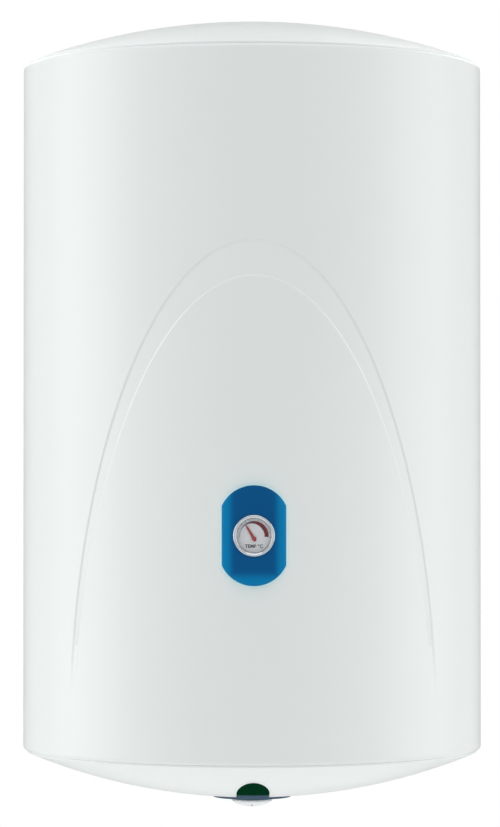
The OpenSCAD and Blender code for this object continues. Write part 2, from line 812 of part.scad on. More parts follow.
riser_top = head_high + head_rise - tank_t - 18;
module hot_riser() color([0.7, 0.72, 0.74])
    ring(pipe_bore_r - weld, pipe_bore_r - 1.4, nipple_top - 20, riser_top, hot_x, pipe_back);

module cold_diffuser() color([0.9, 0.9, 0.88]) difference() {
    bar(pipe_r + 4, nipple_top - 5, nipple_top + 30, cold_x, pipe_back);
    bar(pipe_plain_r + gap, nipple_top - 9, nipple_top + 0.2, cold_x, pipe_back);
    bar(pipe_bore_r, nipple_top - 1, nipple_top + 27, cold_x, pipe_back);
    for (turn = [0, 60, 120]) translate([cold_x, pipe_back, nipple_top + 15]) rotate([0, 0, turn])
        cube([3 * pipe_r, 6, 16], center = true);
}

// --- wall brackets ------------------------------------------------------------------------------

leg_t = bracket_t;
leg_x = bracket_w / 2 - leg_t / 2;
function leg_z(level) = case_mid + level * slot_rise / 2;

module slot_outline() {
    for (side = [-1, 1]) translate([side * (slot_l - slot_w) / 2, 0]) circle(slot_w / 2);
    square([slot_l - slot_w, slot_w], center = true);
}

module plate_outline(w, h, r) union() {
    square([w, h - 2 * r], center = true);
    square([w - 2 * r, h], center = true);
    for (x = [-1, 1], z = [-1, 1]) translate([x * (w / 2 - r), z * (h / 2 - r)]) circle(r);
}

module wall_bracket(level) {
    front_slab(axis_back - bracket_t, axis_back, leg_z(level)) difference() {
        plate_outline(bracket_w, bracket_h, 5);
        for (side = [-1, 1]) translate([side * slot_pitch / 2, 0]) slot_outline();
    }
    difference() {
        for (side = [-1, 1])
            box([side * leg_x - leg_t / 2, 0, leg_z(level) - bracket_h / 2 + 5],
                [side * leg_x + leg_t / 2, axis_back - over, leg_z(level) + bracket_h / 2 - 5]);
        bar(tank_r + weld, 0, case_h);
    }
}
module wall_bracket_upper() color([0.72, 0.74, 0.76]) wall_bracket(1);
module wall_bracket_lower() color([0.72, 0.74, 0.76]) wall_bracket(-1);

// --- cable entry and wiring ---------------------------------------------------------------------

cable_r = 5;
gland_flange_low = under_z(gland_y) - 9;
gland_cap_low = gland_flange_low - 13;
gland_top = gland_seat_z + 9;

module cable_gland() color([0.9, 0.9, 0.9]) difference() {
    union() {
        bar(gland_r, gland_flange_low, gland_top, 0, gland_y);
        difference() {
            bar(gland_r + 4.5, gland_flange_low, 0, 0, gland_y);
            under_ball(0.1);
        }
    }
    bar(cable_r, gland_flange_low - over, gland_top + over, 0, gland_y);
}

module gland_cap() color([0.88, 0.88, 0.88]) difference() {
    union() {
        hex_bar(gland_r + 3, gland_cap_low + 4, gland_flange_low - 0.05, 0, gland_y);
        bar(gland_r, gland_cap_low, gland_cap_low + 5, 0, gland_y);
    }
    bar(cable_r, gland_cap_low - over, gland_flange_low + over, 0, gland_y);
}

module gland_locknut() color([0.85, 0.85, 0.85]) difference() {
    hex_bar(gland_r + 4, gland_seat_z + 0.1, gland_seat_z + 5, 0, gland_y);
    bar(gland_r + 0.1, gland_seat_z - over, gland_seat_z + 6, 0, gland_y);
}

block_y = 112;
block_low = wire_z - 4.1;
block_pitch = 14;
block_half_d = 10;
module terminal_block() color([0.92, 0.92, 0.88]) difference() {
    box([-22, block_y - block_half_d, block_low], [22, block_y + block_half_d, base_ring_low - 0.1]);
    for (i = [-1:1]) {
        bar(2.6, block_low - over, wire_z, i * block_pitch, block_y);
        lying_bar(1.6, block_y - 11, block_y + 11, i * block_pitch, wire_z);
    }
}

module terminal_screws() color([0.78, 0.66, 0.3]) for (x = [-block_pitch, 0, block_pitch]) difference() {
    bar(2.4, block_low + 0.2, block_low + 2.3, x, block_y);
    box([x - 2, block_y - 0.4, block_low - over], [x + 2, block_y + 0.4, block_low + 0.9]);
}

// A wire that hangs in one round bow between two points at the same height
module bow_wire(from, to, sag, r = 1.25) {
    d = to - from;
    half = norm(d) / 2;
    bow_r = (half * half + sag * sag) / (2 * sag);
    turn = 2 * asin(half / bow_r);
    translate([(from[0] + to[0]) / 2, (from[1] + to[1]) / 2, wire_z + bow_r - sag])
        rotate([0, 0, atan2(d[1], d[0])]) rotate([90, 0, 0]) rotate([0, 0, -90 - turn / 2])
            rotate_extrude(angle = turn) translate([bow_r, 0]) circle(r);
}

block_front_y = block_y - block_half_d - 0.3;
tab_back_y = body_half_d + 7.6;
module wire_live() color([0.4, 0.22, 0.1]) bow_wire([block_pitch, block_front_y], [tab_x + 1, tab_back_y], 12);
module wire_neutral() color([0.1, 0.25, 0.7]) bow_wire([0, block_front_y], [-tab_x + 1, tab_back_y], 9);
module wire_earth() color([0.3, 0.6, 0.15])
    bow_wire([-block_pitch, block_front_y], [earth_at[0] + 2, earth_at[1] + 4], 11);
module element_wires() color([0.5, 0.12, 0.1]) for (side = [-1, 1])
    bow_wire([side * (tab_x + 3), -body_half_d - 7.6], [side * (element_leg_x(3) - 3.4), leg_row_y], 5);
module pilot_wires() color([0.3, 0.3, 0.32]) for (side = [-1, 1])
    bow_wire([side * 3, lamp_y + 2.5], [side * (element_leg_x(3) - 0.5), leg_row_y - 3.6], 12, 1);

// --- nodes --------------------------------------------------------------------------------------

placed() casing();
placed() top_cover();
placed() bottom_cover();
placed() cover_screws();
placed() cover_lugs();
placed() badge_panel();
placed() badge_trim();
placed() gauge_housing();
placed() gauge_bezel();
placed() gauge_dial();
placed() gauge_lens();
placed() gauge_needle();
placed() gauge_shaft();
placed() bimetal_coil();
placed() heat_contact();
placed() insulation();
placed() insulation_base();
placed() tank_shell();
placed() tank_top_head();
placed() tank_bottom_head();
placed() tank_flange_ring();
placed() flange_gasket();
placed() heater_flange();
placed() flange_bolts();
placed() heating_element();
placed() element_terminals();
placed() anode_rod();
placed() anode_stud();
placed() anode_nut();
placed() thermostat_pocket();
placed() thermostat_rod();
placed() thermostat_body();
placed() thermostat_tabs();
placed() reset_button();
placed() knob_spindle();
placed() temperature_knob();
placed() knob_pointer();
placed() control_plate();
placed() pilot_window();
placed() pilot_lamp();
placed() lamp_holder();
placed() cold_nipple();
placed() hot_nipple();
placed() cold_collar();
placed() hot_collar();
placed() hot_riser();
placed() cold_diffuser();
placed() wall_bracket_upper();
placed() wall_bracket_lower();
placed() cable_gland();
placed() gland_cap();
placed() gland_locknut();
placed() terminal_block();
placed() terminal_screws();
placed() earth_stud();
placed() wire_live();
placed() wire_neutral();
placed() wire_earth();
placed() element_wires();
placed() pilot_wires();
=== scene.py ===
"""Looks of the wall-hung tank water heater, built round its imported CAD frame. Metres, row frame, +Z up."""
import json
import math

import bmesh
import bpy
from mathutils import Matrix, Vector


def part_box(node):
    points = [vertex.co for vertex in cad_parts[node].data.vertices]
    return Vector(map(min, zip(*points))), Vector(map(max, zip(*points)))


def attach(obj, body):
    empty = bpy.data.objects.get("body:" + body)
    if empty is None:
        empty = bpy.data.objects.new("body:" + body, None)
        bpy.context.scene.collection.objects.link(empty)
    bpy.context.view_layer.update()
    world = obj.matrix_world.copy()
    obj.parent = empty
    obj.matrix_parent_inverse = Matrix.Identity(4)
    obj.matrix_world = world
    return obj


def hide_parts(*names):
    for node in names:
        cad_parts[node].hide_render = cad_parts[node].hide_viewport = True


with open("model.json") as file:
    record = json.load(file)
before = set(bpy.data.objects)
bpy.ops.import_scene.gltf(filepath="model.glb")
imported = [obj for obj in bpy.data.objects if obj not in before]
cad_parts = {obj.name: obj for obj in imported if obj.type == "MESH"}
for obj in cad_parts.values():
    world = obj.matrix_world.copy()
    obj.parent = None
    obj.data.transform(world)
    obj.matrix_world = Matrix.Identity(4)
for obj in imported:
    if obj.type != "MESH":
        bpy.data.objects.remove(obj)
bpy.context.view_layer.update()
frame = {"nodes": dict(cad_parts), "record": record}

MM = 0.001
NODES = frame["nodes"]


# --- places, read from the frame -----------------------------------------------------------------

def corners(node):
    """The low and the high corner of a CAD node, in millimetres."""
    low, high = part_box(node)
    return low / MM, high / MM


def middle(node):
    low, high = corners(node)
    return (low + high) / 2


def half_width(node):
    """Half of a node's width across the heater."""
    low, high = corners(node)
    return (high.x - low.x) / 2


casing_low, casing_high = corners("casing")
AXIS_Y = (casing_low.y + casing_high.y) / 2
CASE_R = (casing_high.y - casing_low.y) / 2
CASE_Z0 = casing_low.z
CASE_Z1 = casing_high.z
TOP_Z = corners("top_cover")[1].z
BRIM_R = half_width("top_cover")
SHOULDER_R = CASE_R - BRIM_R
BRIM_H = 2.0               # height of a cover's upright rim
BOTTOM_Z = corners("bottom_cover")[0].z
UNDER_RISE = CASE_Z0 - BOTTOM_Z - BRIM_H
UNDER_BALL_R = (BRIM_R ** 2 + UNDER_RISE ** 2) / (2 * UNDER_RISE)


def under_z(r, stand=0.0):
    """Height of the bottom cover's outer face at r from the axis, moved `stand` outwards."""
    ball = UNDER_BALL_R + stand
    return BOTTOM_Z - stand + ball - math.sqrt(ball * ball - r * r)


def on_dome(rings):
    """Rings of (x, y from the axis, stand) put on the bottom cover's outer face."""
    return [[(x, AXIS_Y + y, under_z(math.hypot(x, y), stand)) for x, y, stand in ring] for ring in rings]


# --- mesh helpers, all in millimetres ------------------------------------------------------------

def smoothstep(t):
    t = min(max(t, 0.0), 1.0)
    return t * t * (3 - 2 * t)


def placed(name, data):
    """A new object in the scene."""
    obj = bpy.data.objects.new(name, data)
    bpy.context.scene.collection.objects.link(obj)
    return obj


def worked_mesh(obj):
    """A new mesh of what an object comes to, with its modifiers or its letters worked in."""
    return bpy.data.meshes.new_from_object(obj.evaluated_get(bpy.context.evaluated_depsgraph_get()))


def make_object(name, bm, sharp_deg=32):
    """A smooth shaded object from a bmesh in millimetres, with edges sharper than sharp_deg kept crisp."""
    bmesh.ops.scale(bm, vec=(MM, MM, MM), verts=bm.verts)
    mesh = bpy.data.meshes.new(name)
    bm.to_mesh(mesh)
    bm.free()
    mesh.shade_smooth()
    mesh.set_sharp_from_angle(angle=math.radians(sharp_deg))
    return placed(name, mesh)


def finish_piece(obj, slot, *replaced, body="heater", material=None):
    """Dresses an object in its slot's material and puts it in the place of the CAD nodes it replaces."""
    obj.data.materials.clear()
    obj.data.materials.append(material or SHADES[slot])
    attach(obj, body)
    if replaced:
        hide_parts(*replaced)


def piece(name, bm, slot, *replaced, sharp_deg=32, **settings):
    """A finished piece from a bmesh, with its faces turned outwards."""
    bmesh.ops.recalc_face_normals(bm, faces=bm.faces)
    finish_piece(make_object(name, bm, sharp_deg), slot, *replaced, **settings)


def around(x, y, radius_of, steps):
    """Points (x, y) round a middle, where radius_of gives the radius at an angle."""
    turns = [2 * math.pi * k / steps for k in range(steps)]
    return [(x + radius_of(a) * math.cos(a), y + radius_of(a) * math.sin(a)) for a in turns]


def quarter(steps, first=0):
    """(1 - cos, 1 - sin) at even steps of a quarter turn, for an edge that rolls over."""
    turns = [math.radians(90 * k / steps) for k in range(first, steps + 1)]
    return [(1 - math.cos(t), 1 - math.sin(t)) for t in turns]


def rounded(corner_list, steps=6, closed=True):
    """A path through corners given as (u, v, fillet radius), with each corner rounded by an arc."""
    count = len(corner_list)
    path = []
    for i, (u, v, radius) in enumerate(corner_list):
        here = Vector((u, v))
        if radius <= 0 or (not closed and i in (0, count - 1)):
            path.append(here)
            continue
        before = Vector(corner_list[i - 1][:2]) - here
        after = Vector(corner_list[(i + 1) % count][:2]) - here
        half = before.angle(after) / 2
        reach = min(radius / math.tan(half), before.length * 0.49, after.length * 0.49)
        fillet = reach * math.tan(half)
        bisector = (before.normalized() + after.normalized()).normalized()
        centre = here + bisector * (fillet / math.sin(half))
        start = here + before.normalized() * reach - centre
        end = here + after.normalized() * reach - centre
        turn = start.angle_signed(end)
        for k in range(steps + 1):
            arm = start.copy()
            arm.rotate(Matrix.Rotation(-turn * k / steps, 2))
            path.append(centre + arm)
    return path


def turned(bm, path, steps, place, radius_at=None, closed=True):
    """Turns a path of (radius, height) about the local Z axis and puts it at `place`.
    radius_at(radius, height, angle) may change the radius as it goes round."""
    rings = []
    for r, z in path:
        if r < 1e-6:
            rings.append([bm.verts.new(place @ Vector((0, 0, z)))])
            continue
        ring = []
        for k in range(steps):
            angle = 2 * math.pi * k / steps
            radius = radius_at(r, z, angle) if radius_at else r
            spot = Vector((radius * math.cos(angle), radius * math.sin(angle), z))
            ring.append(bm.verts.new(place @ spot))
        rings.append(ring)
    pairs = list(zip(rings, rings[1:])) + ([(rings[-1], rings[0])] if closed else [])
    for low, high in pairs:
        for k in range(steps):
            j = (k + 1) % steps
            quad = [low[k % len(low)], low[j % len(low)], high[j % len(high)], high[k % len(high)]]
            corner_set = list(dict.fromkeys(quad))
            if len(corner_set) > 2:
                bm.faces.new(corner_set)


def pushed(bm, faces, way):
    """Extrudes the faces by a vector."""
    made = bmesh.ops.extrude_face_region(bm, geom=faces)
    bmesh.ops.translate(bm, vec=way, verts=[v for v in made["geom"] if isinstance(v, bmesh.types.BMVert)])
    bmesh.ops.recalc_face_normals(bm, faces=bm.faces)


def turned_shape(path, place, steps=96, radius_at=None, closed=True):
    """A new bmesh that holds one turned shape."""
    bm = bmesh.new()
    turned(bm, path, steps, place, radius_at, closed)
    bmesh.ops.recalc_face_normals(bm, faces=bm.faces)
    return bm


def upright(x, y, z=0.0):
    return Matrix.Translation((x, y, z))


def facing_front(x, y, z):
    """A place whose local Z looks out of the heater's front, with local X to the right and local Y up."""
    return Matrix.Translation((x, y, z)) @ Matrix.Rotation(math.radians(90), 4, "X")


def loft(bm, rings, close_first=False, close_last=False, wrap=False):
    """Joins closed rings of equally many points with quads."""
    made = [[bm.verts.new(p) for p in ring] for ring in rings]
    pairs = list(zip(made, made[1:])) + ([(made[-1], made[0])] if wrap else [])
    for a, b in pairs:
        for k in range(len(a)):
            j = (k + 1) % len(a)
            bm.faces.new((a[k], a[j], b[j], b[k]))
    if close_first:
        bm.faces.new(list(reversed(made[0])))
    if close_last:
        bm.faces.new(made[-1])


# --- materials -----------------------------------------------------------------------------------

def linear(r, g, b):
    """Scene linear colour of an 8 bit display colour."""
    def one(c):
        c = c / 255
        return c / 12.92 if c <= 0.04045 else ((c + 0.055) / 1.055) ** 2.4
    return (one(r), one(g), one(b))


def added(tree, kind, inputs=None, **settings):
    """A new node with its settings. Each input is linked when it is given a socket, and set otherwise."""
    made = tree.nodes.new(kind)
    for key, value in settings.items():
        setattr(made, key, value)
    for key, value in (inputs or {}).items():
        if isinstance(value, bpy.types.NodeSocket):
            tree.links.new(value, made.inputs[key])
        else:
            made.inputs[key].default_value = value
    return made


def computed(tree, operation, *values):
    """The result of a maths node."""
    return added(tree, "ShaderNodeMath", dict(enumerate(values)), operation=operation).outputs["Value"]


def mapped(tree, value, first, last, low=0.0, high=1.0, kind="SMOOTHSTEP"):
    """Low where the value is first, and high where it is last."""
    sockets = {"Value": value, "From Min": first, "From Max": last, "To Min": low, "To Max": high}
    return added(tree, "ShaderNodeMapRange", sockets, interpolation_type=kind).outputs["Result"]


class Maker:
    """Builds one node material step by step round a Principled shader."""

    def __init__(self, name, colour, roughness, metallic=0.0, **sockets):
        self.material = bpy.data.materials.new(name)
        self.material.use_nodes = True
        self.tree = self.material.node_tree
        self.shader = self.tree.nodes["Principled BSDF"]
        self.colour = (*colour, 1.0)
        self.roughness = roughness
        self.shader.inputs["Base Color"].default_value = self.colour
        self.shader.inputs["Roughness"].default_value = roughness
        self.shader.inputs["Metallic"].default_value = metallic
        for key, value in sockets.items():
            self.shader.inputs[key.replace("_", " ")].default_value = value
        self.coords = self.node("ShaderNodeTexCoord")

    def node(self, kind, inputs=None, **settings):
        return added(self.tree, kind, inputs, **settings)

    def link(self, value, key):
        """Lets a value drive one of the shader's sockets."""
        self.tree.links.new(value, self.shader.inputs[key])

    def noise(self, per_metre, detail=3.0, stretch=(1, 1, 1)):
        spot = self.node("ShaderNodeMapping", {"Scale": stretch, "Vector": self.coords.outputs["Object"]})
        sockets = {"Scale": per_metre, "Detail": detail, "Vector": spot.outputs["Vector"]}
        return self.node("ShaderNodeTexNoise", sockets).outputs["Fac"]

    def cells(self, per_metre):
        sockets = {"Scale": per_metre, "Vector": self.coords.outputs["Object"]}
        return self.node("ShaderNodeTexVoronoi", sockets).outputs["Color"]

    def axis(self, letter):
        """One object coordinate, in metres."""
        parts = self.node("ShaderNodeSeparateXYZ", {"Vector": self.coords.outputs["Object"]})
        return parts.outputs[letter]

    def spread(self, value, low, high):
        """Maps a noise's usual range to low to high."""
        return mapped(self.tree, value, 0.25, 0.75, low, high, "LINEAR")

    def blend(self, share, other):
        """Mixes the base colour with another one."""
        sockets = {"A": self.colour, "B": (*other, 1.0), "Factor": share}
        self.link(self.node("ShaderNodeMix", sockets, data_type="RGBA").outputs["Result"], "Base Color")

    def vary_colour(self, value, other):
        """Mixes the base colour with another one where the value is high."""
        self.blend(self.spread(value, 0.0, 1.0), other)

    def vary_roughness(self, value, amount):
        self.link(self.spread(value, self.roughness - amount, self.roughness + amount), "Roughness")

    def bump(self, value, height_mm):
        """Adds relief of the given height."""
        relief = self.node("ShaderNodeBump", {"Height": value, "Distance": height_mm * MM, "Strength": 1.0})
        self.link(relief.outputs["Normal"], "Normal")


def shade(colour, factor):
    return tuple(c * factor for c in colour)


def enamel(name, colour, roughness=0.36):
    """Stoved paint on sheet steel: fine orange peel under a clear gloss."""
    m = Maker(name, colour, roughness, Coat_Weight=0.15, Coat_Roughness=0.2)
    m.vary_colour(m.noise(3.0, 4), shade(colour, 0.975))
    m.vary_roughness(m.noise(40.0, 4), 0.035)
    m.bump(m.noise(650.0, 2), 0.003)
    return m.material


def moulding(name, colour, roughness=0.4, grain_mm=0.012, tone=0.96):
    """Injection moulded plastic: fine spark grain and a slight cloudiness."""
    m = Maker(name, colour, roughness)
    m.vary_colour(m.noise(14.0, 4), shade(colour, tone))
    m.vary_roughness(m.noise(120.0, 3), 0.05)
    m.bump(m.noise(2600.0, 3), grain_mm)
    return m.material


def dark_moulding(name, colour, roughness):
    """Tinted plastic with little gloss, so that it stays dark at a grazing view."""
    m = Maker(name, colour, roughness, Specular_IOR_Level=0.0)
    m.vary_colour(m.noise(22.0, 4), shade(colour, 0.86))
    m.vary_roughness(m.noise(160.0, 3), 0.05)
    m.bump(m.noise(1500.0, 3), 0.006)
    return m.material


def gloss_moulding(name, colour, roughness=0.12, coat=0.6):
    m = Maker(name, colour, roughness, Coat_Weight=coat, Coat_Roughness=0.04)
    m.vary_colour(m.noise(30.0, 3), shade(colour, 0.94))
    m.vary_roughness(m.noise(200.0, 3), 0.03)
    m.bump(m.noise(300.0, 2), 0.003)
    return m.material


def badge_lacquer_and_painted_sheen(name, colour, edge_tint_and_sheen_colour):
    """Blue lacquer that is lighter towards the badge's two sides and its foot: partly the moulding's own
    thinner edge, partly a painted reflection.
    """
    m = Maker(name, colour, 0.18, Specular_IOR_Level=0.06, Coat_Weight=0.07, Coat_Roughness=0.05)
    low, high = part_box("badge_panel")
    half_w, height = (high.x - low.x) / 2, high.z - low.z
    # partly painted reflection: the sides and the foot are mixed towards the lighter blue
    side = mapped(m.tree, computed(m.tree, "ABSOLUTE", m.axis("X")), half_w * 0.58, half_w * 0.88)
    foot = mapped(m.tree, m.axis("Z"), low.z + height * 0.16, low.z + height * 0.04)
    m.blend(computed(m.tree, "MAXIMUM", side, foot), edge_tint_and_sheen_colour)
    m.vary_roughness(m.noise(200.0, 3), 0.03)
    m.bump(m.noise(300.0, 2), 0.002)
    return m.material


def metal(name, colour, roughness=0.25, grain=(1, 1, 1), relief_mm=0.004, tone=0.85):
    """Bare or plated metal with drawn grain along its longest stretch."""
    m = Maker(name, colour, roughness, metallic=1.0)
    m.vary_colour(m.noise(60.0, 4, grain), shade(colour, tone))
    m.vary_roughness(m.noise(240.0, 5, grain), 0.07)
    m.bump(m.noise(900.0, 3, grain), relief_mm)
    return m.material


def zinc(name, colour):
    """Galvanised sheet: spangle cells of different brightness."""
    m = Maker(name, colour, 0.38, metallic=1.0)
    m.vary_colour(m.cells(230.0), shade(colour, 0.84))
    m.vary_roughness(m.cells(230.0), 0.05)
    m.bump(m.noise(500.0, 3), 0.006)
    return m.material


def foam(name, colour):
    m = Maker(name, colour, 0.9)
    m.vary_colour(m.noise(80.0, 4), shade(colour, 0.8))
    m.bump(m.cells(420.0), 0.3)
    return m.material


def rubber(name, colour):
    m = Maker(name, colour, 0.7)
    m.vary_colour(m.noise(50.0, 3), shade(colour, 1.5))
    m.vary_roughness(m.noise(150.0, 3), 0.08)
    m.bump(m.noise(1200.0, 2), 0.02)
    return m.material


def clear(name, colour, roughness=0.03):
    m = Maker(name, colour, roughness, Transmission_Weight=1.0, IOR=1.49)
    m.vary_roughness(m.noise(30.0, 3), 0.015)
    return m.material


def window_pane(name, colour, alpha=0.03, roughness=0.05):
    """A thin clear pane: it lets the dial through almost unchanged and adds little but its gloss."""
    m = Maker(name, colour, roughness, Alpha=alpha, IOR=1.49)
    m.vary_roughness(m.noise(30.0, 3), 0.02)
    return m.material


OFF_WHITE = linear(238, 242, 241)
LOOKS = {                  # slot: kind of surface, colour and what else that kind takes
    "casing_enamel": (enamel, OFF_WHITE),
    "cover_plastic": (moulding, linear(240, 244, 243), 0.34, 0.006, 0.985),
    "zinc_steel": (zinc, linear(196, 200, 204)),
    # the badge's second, lighter blue is partly a painted reflection on its sides and foot
    "badge_blue": (badge_lacquer_and_painted_sheen, linear(0, 84, 140), linear(0, 124, 180)),
    "badge_rim": (gloss_moulding, linear(198, 242, 250)),
    "black_plastic": (moulding, linear(34, 35, 38), 0.5, 0.02, 1.4),
    "bezel_chrome": (metal, linear(214, 220, 226), 0.12, (1, 1, 1), 0.001),
    "dial_white": (moulding, linear(226, 227, 230), 0.55, 0.004),
    "clear_lens": (window_pane, (0.8, 0.82, 0.85)),
    "needle_red": (gloss_moulding, linear(164, 0, 24), 0.3, 0.1),
    "brass": (metal, linear(206, 170, 92)),
    "copper": (metal, linear(198, 124, 86), 0.3, (1, 1, 0.1)),
    "foam": (foam, linear(226, 205, 140)),
    "foam_base": (foam, linear(238, 238, 236)),
    "tank_enamel": (enamel, linear(36, 58, 82), 0.2),
    "black_rubber": (rubber, linear(26, 26, 28)),
    "flange_steel": (metal, linear(178, 180, 182), 0.4),
    "anode_metal": (metal, linear(168, 170, 172), 0.5, (1, 1, 0.1)),
    "thermostat_resin": (moulding, linear(214, 206, 180), 0.5, 0.02),
    "button_red": (gloss_moulding, linear(190, 16, 22), 0.3, 0.2),
    "knob_white": (moulding, linear(238, 240, 240), 0.32, 0.006, 0.98),
    "pointer_blue": (gloss_moulding, linear(120, 164, 200), 0.3, 0.2),
    "plate_blue_grey": (dark_moulding, linear(74, 94, 112), 0.5),
    "window_green": (dark_moulding, linear(6, 52, 30), 0.34),
    "lamp_glass": (clear, linear(150, 230, 160), 0.1),
    "nipple_steel": (metal, linear(205, 208, 212), 0.2, (1, 1, 0.2)),
    "collar_blue": (moulding, linear(26, 84, 190), 0.35),
    "collar_red": (moulding, linear(200, 28, 30), 0.35),
    "white_plastic": (moulding, linear(232, 233, 232), 0.42),
    "wire_brown": (rubber, linear(110, 60, 30)),
    "wire_blue": (rubber, linear(20, 70, 180)),
    "wire_green": (rubber, linear(120, 170, 40)),
    "wire_grey": (rubber, linear(120, 122, 126)),
}
SHADES = {slot: make(slot, *look) for slot, (make, *look) in LOOKS.items()}
for part in frame["record"]["subparts"]:
    node_mesh = NODES[part["node"]].data
    node_mesh.materials.clear()
    node_mesh.materials.append(SHADES[part["material_slot"]])


# --- casing with its pressed arch ----------------------------------------------------------------

ARCH_TOP = 487.0           # over the casing's lower edge, as the CAD casing has it
ARCH_HALF_W = 173.0
ARCH_FOOT = 40.0
BAND_TOP_W = 32.5          # the band is widest at the arch's top
BAND_FOOT_W = 4.5
BAND_DEPTH = 1.5
ARCH_POWER = 2 / 1.86      # how full the arch's sides are
WALL_HALF = 1.7            # half width of the band's sloped sides
FADE_TOP = 150.0           # the band grows shallower below this height
FRONT_TURN = math.radians(66)      # half of the front patch, round the axis
SHEET_T = 1.0
LIP_W = 9.0                # the sheet's turned-in edge


def arch_point(half_w, top, t):
    """A point of an arch, x measured round the casing, at the turn t from its right foot."""
    x = half_w * math.cos(t)
    z = ARCH_FOOT + (top - ARCH_FOOT) * math.sin(t) ** ARCH_POWER if 0 < t < math.pi else ARCH_FOOT
    return Vector((CASE_R * math.asin(x / CASE_R), z))


def arch_normal(half_w, top, t):
    """The outward normal of an arch in the unrolled sheet."""
    step = 0.002
    along = arch_point(half_w, top, min(t + step, math.pi)) - arch_point(half_w, top, max(t - step, 0))
    return Vector((along.y, -along.x)).normalized()


def edge_of_front(centre, through, half_w, top):
    """Where the ray from centre leaves the front patch."""
    ray = through - centre
    reach = []
    if abs(ray.x) > 1e-9:
        reach.append((half_w - abs(centre.x)) / abs(ray.x))
    if ray.y > 1e-9:
        reach.append((top - centre.y) / ray.y)
    return centre + ray * min(reach)


